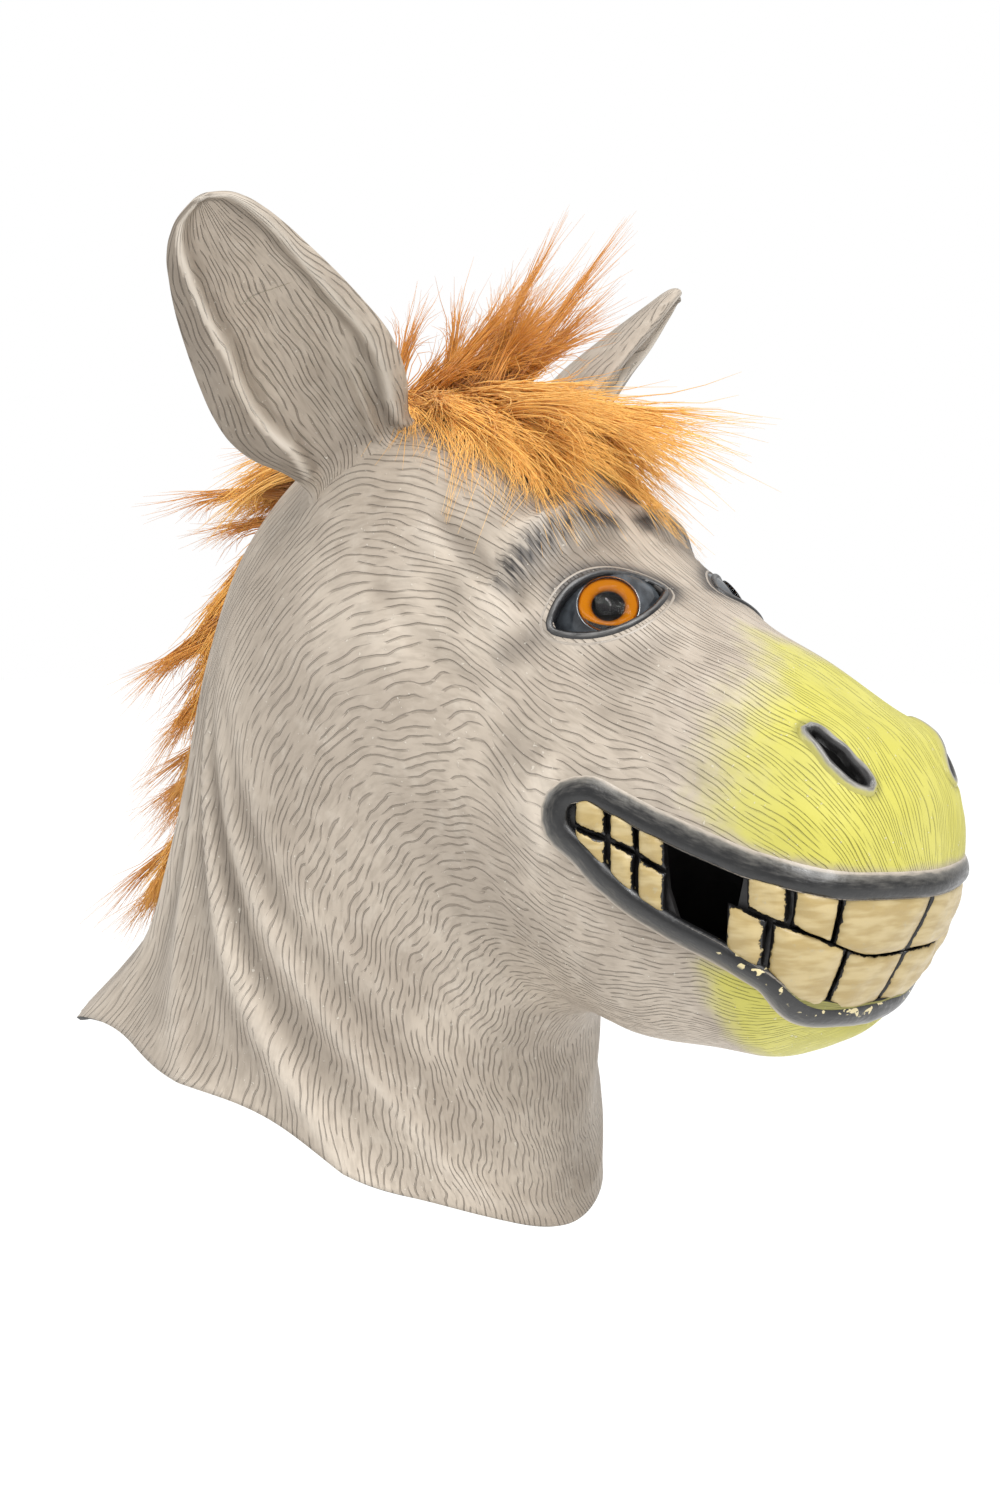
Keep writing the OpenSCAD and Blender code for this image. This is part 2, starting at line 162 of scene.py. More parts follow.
# Moulded latex, airbrushed and dry-brushed: matt grey-beige skin, darker wash lying in the furrows, painted shade in
# the folds, paler paint over the ridges that is dry-brushing and painted highlight both, and a yellow-green muzzle
# that fades out.
def latex_skin():
    material, t = new_material("airbrushed_latex_skin")
    ridge = hair_lines(t)
    clouds = grain(t, place_of(t, 55), 3)
    mottled = grain(t, place_of(t, 9), 3, 0.6)
    base = mixed(t, ranged(t, clouds, 0.35, 0.65), "#a4988a", "#b9ad9e")
    base = mixed(t, ranged(t, mottled, 0.5, 0.8, 0, 0.3), base, "#cec5b8")
    base = mixed(t, ranged(t, ridge, 0.0, 1.0, 0.42, 0.0), base, "#6b5f52")
    base = mixed(t, ranged(t, grain(t, flow_of(t, 1.3, 9), 2), 0.4, 0.7, 0.0, 0.35), base, "#867b6e")
    # Paler paint on what stands proud, dry-brushing and painted highlight both; then painted shade in the folds and
    # hollows.
    base = mixed(t, maths(t, "MULTIPLY", attribute(t, "worn"), 0.75), base, "#dad1c4")
    base = mixed(t, maths(t, "MULTIPLY", attribute(t, "hollow"), 0.62), base, "#665c51")
    edge = uneven(t, attribute(t, "muzzle"), mottled, 0.5)
    yellow = mixed(t, ranged(t, ridge, 0.0, 1.0, 0.42, 0.0), "#bcb652", "#87823a")
    yellow = mixed(t, ranged(t, clouds, 0.4, 0.7, 0, 0.4), yellow, "#c5c076")
    base = mixed(t, ranged(t, edge, 0.1, 0.9), base, yellow)
    base = mixed(t, ranged(t, attribute(t, "shade"), 0.0, 1.0, 0, 0.92), base, "#2b2a2c")
    hairs = grain(t, flow_of(t, 1.7, 11), 2)
    streak = maths(t, "MULTIPLY", attribute(t, "brow"), ranged(t, hairs, 0.46, 0.6, 1.0, 0.45))
    base = mixed(t, streak, base, "#2f2c2b")
    # Specks of dried gloss, about a millimetre across: glossier, and painted paler, a painted glint on each.
    specks = ranged(t, grain(t, place_of(t, 1.9), 1), 0.72, 0.76)
    base = mixed(t, maths(t, "MULTIPLY", specks, 0.4), base, "#ddd6c8")
    normal = bumped(t, ridge, 0.6, 1.0)
    normal = bumped(t, grain(t, place_of(t, 1.6), 3), 0.12, 0.6, normal)
    normal = bumped(t, specks, 0.2, 0.8, normal)
    rough = ranged(t, specks, 0.0, 1.0, 0.52, 0.28)
    return coated(material, base, rough, normal, IOR=1.5, Specular_IOR_Level=0.4)


# Raw latex inside the casting, brushed black: dull and slightly uneven.
def inside_coat():
    material, t = new_material("raw_latex_inside")
    clouds = grain(t, place_of(t, 14), 4)
    base = mixed(t, ranged(t, clouds, 0.3, 0.7), "#161414", "#2b2826")
    return coated(material, base, ranged(t, clouds, 0.3, 0.7, 0.55, 0.8), bumped(t, clouds, 0.6, 0.6))


# Charcoal enamel on latex lips and lids, with grey dragged over what stands proud, and faded out
# by airbrush into the colour of the skin round it.
def dry_brushed(name, dark, pale, skin_tone="#a0968a", smears=None):
    material, t = new_material(name)
    drag = grain(t, flow_of(t, 1.4, 8), 3, 0.6)
    lumps = grain(t, place_of(t, 3.5), 2)
    base = mixed(t, ranged(t, uneven(t, attribute(t, "proud"), drag, 0.9), 0.2, 1.0), dark, pale)
    base = mixed(t, ranged(t, uneven(t, attribute(t, "fade"), drag, 0.6), 0.3, 0.9), base, skin_tone)
    if smears:
        spot = ranged(t, grain(t, place_of(t, 5, 5, 3), 3), 0.61, 0.63)
        base = mixed(t, maths(t, "MULTIPLY", spot, attribute(t, "smear")), base, smears)
    normal = bumped(t, drag, 0.3, 0.7, bumped(t, lumps, 0.5, 0.7))
    return coated(material, base, ranged(t, drag, 0.3, 0.7, 0.3, 0.5), normal, Coat_Weight=0.3,
                  Coat_Roughness=0.22)


# Cream paint laid thickly on black latex teeth: it stops short of the edges in a ragged line.
def tooth_paint():
    material, t = new_material("painted_latex_teeth")
    ragged = grain(t, place_of(t, 3.4), 3, 0.6)
    streaks = grain(t, place_of(t, 14, 14, 3), 2)
    painted = ranged(t, uneven(t, attribute(t, "edge"), ragged, 2.6), 0.7, 0.9)
    cream = mixed(t, ranged(t, streaks, 0.35, 0.65), "#a58f5c", "#b9a678")
    cream = mixed(t, ranged(t, ragged, 0.6, 0.8, 0, 0.5), cream, "#a09a86")
    base = mixed(t, painted, "#141313", cream)
    normal = bumped(t, ragged, 0.5, 0.6, bumped(t, painted, 0.35, 0.9))
    rough = ranged(t, painted, 0.0, 1.0, 0.3, 0.45)
    return coated(material, base, rough, normal, Coat_Weight=0.2, Coat_Roughness=0.25)


# Glossy acrylic eye, painted dark grey behind, with soft cloudy bands.
def eye_white():
    material, t = new_material("acrylic_sclera")
    clouds = grain(t, place_of(t, 7), 3)
    base = mixed(t, ranged(t, clouds, 0.3, 0.7), "#292c30", "#50555a")
    return coated(material, base, ranged(t, clouds, 0.3, 0.7, 0.1, 0.2), bumped(t, clouds, 0.2, 0.2),
                  Coat_Weight=0.4, Coat_Roughness=0.04)


# Painted amber iris: radial streaks from a bright ring to a burnt edge, under gloss.
def iris_paint():
    material, t = new_material("painted_amber_iris")
    streaks = grain(t, flow_of(t, 0.9, 6), 3, 0.6)
    shade = uneven(t, attribute(t, "outwards"), streaks, 0.45)
    amber = mixed(t, ranged(t, shade, 0.0, 0.5), "#8a4c08", "#b06a10")
    amber = mixed(t, ranged(t, shade, 0.8, 1.15), amber, "#8a3d07")
    base = mixed(t, attribute(t, "pupil"), amber, "#050505")
    return coated(material, base, ranged(t, streaks, 0.3, 0.7, 0.2, 0.32), bumped(t, streaks, 0.15, 0.5),
                  Specular_IOR_Level=0.0)


# Clear acrylic lens: nothing but its mirror, stronger at a slant.
def clear_lens():
    material, t = new_material("clear_acrylic_lens")
    scratch = grain(t, place_of(t, 6, 0.6, 6), 2)
    gloss = add(t, "BsdfGlossy", Color=(1, 1, 1, 1), Roughness=ranged(t, scratch, 0.3, 0.7, 0.02, 0.06),
                Normal=bumped(t, scratch, 0.02, 0.3))
    clear = add(t, "BsdfTransparent", Color=(1, 1, 1, 1))
    slant = add(t, "Fresnel", IOR=1.15)
    return finished(material, add(t, "MixShader", i0=slant.outputs[0], i1=clear.outputs[0], i2=gloss.outputs[0]))


# Dyed synthetic fur fibre, golden along its length and darker towards the root; each strand its own tone.
def fur_fibre(name, root, low, high):
    material, t = new_material(name)
    base = mixed(t, attribute(t, "tone"), low, high)
    base = mixed(t, ranged(t, attribute(t, "along"), 0.0, 0.42, 0.9, 0.0), base, root)
    ripple = grain(t, place_of(t, 3), 2)
    base = mixed(t, ranged(t, ripple, 0.4, 0.8, 0.0, 0.35), base, root)
    return coated(material, base, ranged(t, ripple, 0.3, 0.7, 0.38, 0.55), bumped(t, ripple, 0.1, 0.3),
                  Sheen_Weight=0.25, Sheen_Roughness=0.4, Specular_IOR_Level=0.45)


# Woven polyester backing of the fur: a plain weave of half-millimetre yarns, drawn at 1.2 mm to show.
def woven_backing():
    material, t = new_material("woven_polyester_backing")
    warp, weft = [add(t, "TexWave", {"wave_type": "BANDS", "bands_direction": axis}, Vector=flow_of(t, 1.2, 1.2),
                      Scale=0.5).outputs["Fac"] for axis in "XY"]
    weave = maths(t, "MULTIPLY", warp, weft)
    base = mixed(t, weave, "#5c3c1a", "#8f6430")
    return coated(material, base, ranged(t, weave, 0, 1, 0.95, 0.8), bumped(t, weave, 0.3, 0.8))


# Flexible polyurethane foam: open cells, drawn at 1.5 mm.
def foam():
    material, t = new_material("flexible_foam")
    cells = add(t, "TexVoronoi", Vector=place_of(t, 1.5), Scale=1.0).outputs["Distance"]
    base = mixed(t, ranged(t, cells, 0.1, 0.7), "#b9ae93", "#e2dac6")
    return coated(material, base, ranged(t, cells, 0, 1, 0.85, 0.98), bumped(t, cells, 0.6, 0.8))


# Black glossy latex of the gum liner, brushed on unevenly.
def gum_latex():
    material, t = new_material("black_latex_liner")
    clouds = grain(t, place_of(t, 6), 4)
    base = mixed(t, ranged(t, clouds, 0.3, 0.7), "#0d0d0d", "#242222")
    return coated(material, base, ranged(t, clouds, 0.3, 0.7, 0.3, 0.55), bumped(t, clouds, 0.8, 0.7))


# Matt painted board: a pale studio floor with the faintest mottle.
def floor_paint():
    material, t = new_material("pale_studio_floor")
    clouds = grain(t, place_of(t, 300), 2)
    base = mixed(t, clouds, "#fcfcfb", "#ffffff")
    return coated(material, base, ranged(t, clouds, 0, 1, 0.85, 0.95), bumped(t, clouds, 0.1, 0.1))


# ---------------------------------------------------------------- the head's surface
# Each row is a section of the head: page angle, back reach, throat reach, half width, squareness.
# The sections fan out from a line below the throat.
FAN_FORWARD, FAN_UP = 145.0, -240.0
PAGES = np.array([
    [164.5, 362, 56, 100, 2.0], [158, 338, 62, 95, 2.0], [152, 325, 70, 91, 2.0],
    [146, 327, 80, 89, 2.0], [137, 347, 93, 87, 2.0], [130, 376, 108, 87, 2.0],
    [123, 398, 126, 87, 2.0], [115, 406, 134, 85, 2.0], [108, 397, 132, 81, 2.1],
    [102, 370, 127, 76, 2.3], [98, 340, 124, 72, 2.5], [93, 308, 121, 67, 2.7],
    [87, 287, 120, 62, 2.7], [79, 273, 122, 59, 2.6], [70.6, 259, 126, 57, 2.5],
    [67, 249, 130, 55, 2.5], [65, 242, 134, 52, 2.5], [63.2, 232, 139, 46, 2.4],
    [61.6, 222, 144, 36, 2.3], [60.4, 214, 149, 24, 2.2], [59.8, 208, 153, 13, 2.2],
    [59.6, 202, 157, 2, 2.2]])
LAST = len(PAGES) - 1
NECK_ANGLE, LIP_ANGLE = PAGES[0, 0], PAGES[LAST, 0]
AFTER, BEFORE = [np.clip(np.arange(LAST + 1) + step, 0, LAST) for step in (1, -1)]
SLOPES = (PAGES[AFTER] - PAGES[BEFORE]) / (PAGES[AFTER, :1] - PAGES[BEFORE, :1])
# The mouth from the side: forward and height along its upper edge, then along its lower edge.
UPPER, LOWER = 1, 3
MOUTH = [(133, -26, 135, -31), (143, -24, 142, -37), (153, -29, 150, -46), (167, -35, 162, -55.5),
         (184, -41, 178, -63.5), (206, -48, 198, -71), (226, -52, 217, -80.5), (240, -55.5, 229, -95.5),
         (275, -60, 275, -120)]
# Where the upper and the lower teeth meet: forward, height.
BITE = [(128, -28), (142, -34), (154, -38), (167, -44), (184, -52), (206, -58), (226, -65), (236, -78),
        (275, -95)]
# The right eye: its front, the way it looks, the tilt of its opening, and the two arcs of that almond.
EYE_FRONT = np.array([-42, -134, 50.0])
EYE_AIM = np.array([-0.69, -0.57, 0.45])
EYE_OUT = EYE_AIM / np.linalg.norm(EYE_AIM)
EYE_RADIUS = 27.0
EYE_TILT = math.radians(26)
LID_ARC, LID_APART = 30, 17.5
EYE_CENTRE = EYE_FRONT + EYE_AIM * (3 - EYE_RADIUS)
EYE_SIDE = np.cross(EYE_OUT, [0, 0, 1])
EYE_SIDE /= np.linalg.norm(EYE_SIDE)
EYE_DOWN = np.cross(EYE_OUT, EYE_SIDE)
# Soft swellings on both sides: middle, height, size along each axis.
SWELLINGS = [
    ((42, -134, 50), 4.5, (20, 20, 16)), ((48, -108, 78), 5, (17, 14, 9)), ((27, -116, 84), 4, (14, 12, 8)),
    ((36, -228, -4), 5, (13, 16, 14)), ((66, -120, -28), 3, (20, 16, 16)), ((50, -150, 22), -2.5, (16, 18, 14)),
    ((0, -205, 10), -2, (12, 30, 20)), ((80, -40, 30), 3, (30, 34, 40)), ((64, -80, 60), -3, (20, 14, 26)),
    ((56, -10, 106), 5, (22, 24, 18)), ((40, -226, -28), 1.6, (20, 14, 9))]
# Creases and ridges: points, height, half width.
CREASES = [
    ([(63, -67, 84), (64, -87, 68), (63, -107, 52)], -1.6, 4.5),
    ([(71, -66, 78), (71, -86, 60), (68, -104, 44)], 1.5, 6),
    ([(78, -49, 56), (78, -70, 37), (74, -92, 22)], -1.3, 7),
    ([(63, -98, 59), (53, -105, 73), (39, -108, 81), (18, -107, 88)], 3.6, 5),
    ([(58, -106, 56), (47, -114, 69), (30, -119, 75), (14, -120, 78)], -2.0, 3),
    ([(60, -140, 26), (56, -153, 33), (42, -160, 38)], -1.2, 4),
    ([(64, -148, 8), (63, -166, 0), (60, -186, -14)], -1.6, 7),
    ([(72, -128, -12), (74, -121, -26), (72, -126, -42)], 2.4, 5),
    ([(78, -112, 0), (80, -104, -24), (76, -112, -48)], -1.8, 6),
    ([(40, -214, 12), (46, -222, 2), (46, -234, -12), (36, -242, -20)], 1.6, 4)]


def between_rows(table, slopes, i, x):
    """The four columns after the first, run smoothly from row i of a table to the next one."""
    span = table[i + 1, 0] - table[i, 0]
    t = (x - table[i, 0]) / span
    h00, h10, h01, h11 = 2 * t**3 - 3 * t**2 + 1, t**3 - 2 * t**2 + t, 3 * t**2 - 2 * t**3, t**3 - t**2
    return [table[i, c] * h00 + slopes[i, c] * span * h10 + table[i + 1, c] * h01
            + slopes[i + 1, c] * span * h11 for c in (1, 2, 3, 4)]


def page(a):
    """Back reach, throat reach, half width and squareness of the section at each angle."""
    a = np.asarray(a, float)
    i = np.clip(np.searchsorted(-PAGES[:, 0], -a, side="left") - 1, 0, LAST - 1)
    return between_rows(PAGES, SLOPES, i, a)


def to_line(p, line):
    """How far each point is from a line of points."""
    p = np.asarray(p, float)
    best = np.full(p.shape[:-1], 1e9)
    for first, last in zip(line[:-1], line[1:]):
        first, last = np.array(first, float), np.array(last, float)
        d = last - first
        t = np.clip(((p - first) @ d) / (d @ d), 0, 1)
        best = np.minimum(best, np.linalg.norm(p - first - t[..., None] * d, axis=-1))
    return best


def mouth_height(f, column):
    """The height of the UPPER or the LOWER edge of the mouth at a distance forward."""
    return np.interp(f, [r[column - 1] for r in MOUTH], [r[column] for r in MOUTH])


def from_mouth(p):
    """Distance outside the edge of the mouth, seen from the side; less than 0 inside it."""
    side = np.stack([-p[..., 1], p[..., 2]], -1)
    line = [row[:2] for row in MOUTH] + [row[2:] for row in MOUTH[::-1]]
    far = to_line(side, line + line[:1])
    f, z = side[..., 0], side[..., 1]
    inside = (f > MOUTH[0][0]) & (z < mouth_height(f, UPPER)) & (z > mouth_height(f, LOWER))
    return np.where(inside, -far, far) - 1.0


def mirrored(p):
    """Points brought to the right side, where X is below 0."""
    q = np.array(p, float)
    q[..., 0] = -np.abs(q[..., 0])
    return q


def tilted(u, v, turn):
    return u * math.cos(turn) + v * math.sin(turn), v * math.cos(turn) - u * math.sin(turn)


def from_eye(p):
    """Distance outside the almond opening between the lids."""
    q = mirrored(p) - EYE_CENTRE
    u, v = tilted(q @ EYE_SIDE, q @ EYE_DOWN, EYE_TILT)
    far = np.maximum(np.hypot(u, v - LID_APART), np.hypot(u, v + LID_APART)) - LID_ARC
    return np.where(q @ EYE_OUT > 2, far, 50.0)


NOSTRIL = [(-37.5, -220.5, 4.5), (-38.6, -229, -1.8), (-36, -235.6, -8.6), (-30, -240.5, -14.6)]


def from_nostril(p):
    return to_line(mirrored(p), NOSTRIL) - 3.2


def swell(p, middle, height, size):
    d = np.stack([np.abs(p[..., 0]) - middle[0], p[..., 1] - middle[1], p[..., 2] - middle[2]], -1) / size
    return height * np.exp(-(d**2).sum(-1))


def neck_folds(a, phi):
    """Folds fan out from a place beside the nape, some down to the cut edge and some round to the throat."""
    side = np.degrees(np.arccos(np.cos(np.radians(phi))))
    x, y = (side - 40) * 1.6, (a - 124) * 5.0
    turn = np.degrees(np.arctan2(y, x)) + 2.5 * np.sin(np.radians(side * 4 + a * 5))
    reach = np.hypot(x, y)
    wave = np.cos(np.radians((turn - 8) * 360 / 20))
    sharp = 1 - np.sqrt(np.clip(1 - wave, 0, 2) / 2) * 1.6
    amount = np.clip((reach - 12) / 60, 0, 1) * np.clip((turn - 4) / 14, 0, 1) * np.clip((120 - turn) / 40, 0, 1)
    amount = amount * (1 - 0.6 * np.clip((side - 140) / 40, 0, 1)) * np.clip((a - 124) / 8, 0, 1)
    tip = 9 * np.clip((a - 162.3) / 2.2, 0, 1)**2 * np.clip((120 - side) / 80, 0, 1)**2
    return sharp * 3.7 * (0.8 + 0.3 * np.sin(np.radians(turn * 9 + a * 3))) * amount - tip


def relief(p, a, phi):
    """How far the skin stands out of its plain section: folds, a rise round the mouth, swellings, creases."""
    total = neck_folds(a, phi)
    total = total + np.where(p[..., 1] < -118, 2.2 * np.exp(-(np.maximum(from_mouth(p), 0) / 5.5)**2), 0)
    for s in SWELLINGS:
        total = total + swell(p, *s)
    left = p.copy()
    left[..., 0] = np.abs(left[..., 0])
    for line, height, half in CREASES:
        total = total + height * np.exp(-(to_line(left, line) / half)**2)
    return total


def skin_points(a, phi, inset=0.0):
    """Points of the outer surface less an inset, at page angles a and round the page by phi."""
    back, throat, half_width, square = page(a)
    half, middle = (back - throat) / 2, (back + throat) / 2
    c, s = np.cos(np.radians(phi)), np.sin(np.radians(phi))
    c = np.sign(c) * np.abs(c) ** (2 / square)
    s = np.sign(s) * np.abs(s) ** (2 / square)
    flat = np.stack([-half_width * s, half * c], -1)
    size = np.linalg.norm(flat, axis=-1)

    def stand(x, r):
        ar = np.radians(a)
        return np.stack([x, -(FAN_FORWARD + r * np.cos(ar)), FAN_UP + r * np.sin(ar)], -1)

    p = stand(flat[..., 0], middle + flat[..., 1])
    grown = flat * (np.maximum(0.2, size + relief(p, a, phi) - inset) / size)[..., None]
    return stand(grown[..., 0], middle + grown[..., 1])


def page_angles(t, phi):
    """The page angle a share t of the way from the cut edge of the neck to the lips."""
    around = np.radians(phi)
    cut = 13.5 * (1 - np.cos(around)) / 2 + 3.75 * np.sin(around)**2 + 0.7 * np.cos(np.radians(phi * 7))
    start = NECK_ANGLE - cut * (1 - t)**2
    return start + (LIP_ANGLE - NECK_ANGLE) * (t + 0.35 * t * (1 - t))


# ---------------------------------------------------------------- making pieces
WELD = 0.004 * MM


def laid_grid(name, points, flow=None, marks=None):
    """A grid mesh with its vertices at points (rows, columns, 3) in mm, its UVs and its marks."""
    rows, columns = points.shape[0] - 1, points.shape[1] - 1
    bm = bmesh.new()
    bmesh.ops.create_grid(bm, x_segments=rows, y_segments=columns, size=1.0)
    mesh = bpy.data.meshes.new(name)
    bm.to_mesh(mesh)
    bm.free()
    co = np.empty(len(mesh.vertices) * 3, np.float32)
    mesh.vertices.foreach_get("co", co)
    co = co.reshape(-1, 3)
    low, high = co.min(0), co.max(0)
    i = np.rint((co[:, 0] - low[0]) / (high[0] - low[0]) * rows).astype(int)
    j = np.rint((co[:, 1] - low[1]) / (high[1] - low[1]) * columns).astype(int)
    mesh.vertices.foreach_set("co", (points[i, j] * MM).astype(np.float32).ravel())
    corner = np.empty(len(mesh.loops), np.int32)
    mesh.loops.foreach_get("vertex_index", corner)
    if flow is not None:
        layer = mesh.uv_layers.new(name="flow")
        layer.data.foreach_set("uv", flow[i[corner], j[corner]].astype(np.float32).ravel())
    for key, value in (marks or {}).items():
        layer = mesh.attributes.new(key, "FLOAT", "POINT")
        layer.data.foreach_set("value", np.asarray(value, float)[i, j].astype(np.float32))
    bm = bmesh.new()
    bm.from_mesh(mesh)
    bmesh.ops.remove_doubles(bm, verts=bm.verts, dist=WELD)
    bmesh.ops.recalc_face_normals(bm, faces=bm.faces)
    bm.to_mesh(mesh)
    bm.free()
    return mesh


def shown(name, mesh, *materials):
    """An object for a mesh, smooth, with its materials."""
    for m in materials:
        mesh.materials.append(m)
    mesh.shade_smooth()
    piece = bpy.data.objects.new(name, mesh)
    bpy.context.scene.collection.objects.link(piece)
    return piece


def joined(name, meshes, *materials):
    """Several meshes as one piece."""
    bm = bmesh.new()
    for mesh in meshes:
        bm.from_mesh(mesh)
    whole = bpy.data.meshes.new(name)
    bm.to_mesh(whole)
    bm.free()
    return shown(name, whole, *materials)


def walled(piece, thick_mm, inner=0):
    """Gives a sheet its wall, inwards; its inside and rim take the material inner places further on."""
    wall = piece.modifiers.new("wall", "SOLIDIFY")
    wall.thickness = thick_mm * MM
    wall.offset = -1
    wall.use_even_offset = False
    wall.material_offset = wall.material_offset_rim = inner
    mesh = bpy.data.meshes.new_from_object(piece.evaluated_get(bpy.context.evaluated_depsgraph_get()))
    piece.modifiers.clear()
    piece.data = mesh


def flipped(mesh):
    """The mirror image of a mesh on the other side of the head."""
    twin = mesh.copy()
    bm = bmesh.new()
    bm.from_mesh(twin)
    bmesh.ops.scale(bm, vec=(-1, 1, 1), verts=bm.verts)
    bmesh.ops.reverse_faces(bm, faces=bm.faces)
    bm.to_mesh(twin)
    bm.free()
    return twin


def both_sides(name, mesh, material):
    """The right piece made of a mesh, then its mirror image on the left."""
    yield shown("right_" + name, mesh, material)
    yield shown("left_" + name, flipped(mesh))


def unit(ways):
    return ways / np.linalg.norm(ways, axis=1)[:, None]


def length_along(points):
    """How far along a row of places each one lies."""
    return np.concatenate([[0], np.cumsum(np.linalg.norm(np.diff(points, axis=0), axis=-1))])


# The whole outer surface, with no openings, for laying things on.
ROWS, COLUMNS = 168, 280
t_rows = np.linspace(0, 1, ROWS + 1)[:, None] * np.ones(COLUMNS + 1)
phi_columns = np.linspace(0, 360, COLUMNS + 1)[None, :] * np.ones((ROWS + 1, 1))
angles = page_angles(t_rows, phi_columns)
skin = skin_points(angles, phi_columns)
skin[:, -1] = skin[:, 0]
skin[-1, :, 0] = 0
whole_mesh = laid_grid("whole_surface", skin)
bm = bmesh.new()
bm.from_mesh(whole_mesh)
surface = BVHTree.FromBMesh(bm)
bm.free()
bpy.data.meshes.remove(whole_mesh)


def on_skin(point_mm, lift=0.0):
    """The nearest place on the skin and the way it faces, in mm."""
    spot, way, _, _ = surface.find_nearest(Vector(point_mm) * MM)
    way = outwards(np.array(spot) / MM, np.array(way))
    return np.array(spot) / MM + way * lift, way


def outwards(spot, way):
    """The direction way, turned to point away from the middle of the head there."""
    a = math.degrees(math.atan2(spot[2] - FAN_UP, -spot[1] - FAN_FORWARD))
    back, throat, _, _ = page(np.clip(a, LIP_ANGLE, 170))
    r = (back + throat) / 2
    middle = np.array([0, -(FAN_FORWARD + r * math.cos(math.radians(a))), FAN_UP + r * math.sin(math.radians(a))])
    return way if (spot - middle) @ way > 0 else -way


def cast(origin_mm, direction):
    """Where a ray meets the skin, and the way the skin faces there, in mm; None if it misses."""
    spot, way, _, _ = surface.ray_cast(Vector(origin_mm) * MM, Vector(direction))
    if spot is None:
        return None, None
    return np.array(spot) / MM, outwards(np.array(spot) / MM, np.array(way))


# ---------------------------------------------------------------- the skin
BROW = [(-61, -100, 61), (-52, -106, 73), (-39, -109, 80), (-24, -110, 85), (-10, -114, 86)]


def paint_marks(p):
    """Where the skin is painted: yellow muzzle, black shading round eye and lips, brow."""
    q = mirrored(p)
    f, z, x = -q[..., 1], q[..., 2], -q[..., 0]
    lip_gap = from_mouth(p)
    # The yellow covers the nose ahead of a slanting line, and the chin under the lower lip.
    line = 194 + 0.10 * (z - 10) + np.where(z > 15, (z - 15) * 0.2, 0) - np.where(x < 30, (30 - x) * 1.0, 0)
    nose = np.clip((f - line + 22) / 50, 0, 1) * np.clip((lip_gap - 8) / 7 + 0.15, 0, 1)
    below = z < mouth_height(f, LOWER) + 2
    chin_line = 188 + np.clip(-(z + 84), -10, 30) * 0.15
    chin = np.clip((f - chin_line + 12) / 24, 0, 1) * np.clip((-66 - z - (f - 170) * 0.34) / 10, 0, 1)
    muzzle = np.where(below, chin, nose)
    lips = np.exp(-(np.maximum(lip_gap - 5, 0) / 5)**2) * (f > 126) * np.where(below, 0.55, 0.3)
    eye_gap = from_eye(p)
    over = np.clip((q - EYE_CENTRE) @ -EYE_DOWN / 8 + 0.4, 0.2, 1)
    eye = np.exp(-(np.maximum(eye_gap - 3, 0) / 5.5)**2) * 0.85 * over
    corner = to_line(q, [(-60, -118, 38), (-66, -104, 30)])
    eye = np.maximum(eye, 0.55 * np.exp(-(corner / 8)**2))
    nostril = np.exp(-(np.maximum(from_nostril(p) - 1, 0) / 2.2)**2) * 0.5
    brow = np.exp(-(to_line(q, BROW) / 7.0)**4)
    return {"muzzle": muzzle, "shade": np.clip(np.maximum(np.maximum(lips, eye), nostril), 0, 1), "brow": brow}


def hollows():
    """How deep each place lies in a fold, and how far it stands proud, from 0 to 1."""
    r = relief(skin, angles, phi_columns)
    soft = r.copy()
    for _ in range(14):
        inner = np.pad(soft, ((1, 1), (0, 0)), "edge")
        soft = (inner[:-2] + inner[2:] + np.roll(soft, 1, 1) + np.roll(soft, -1, 1)) / 4
    return np.clip((soft - r) / 1.3, 0, 1), np.clip((r - soft) / 1.1, 0, 1)


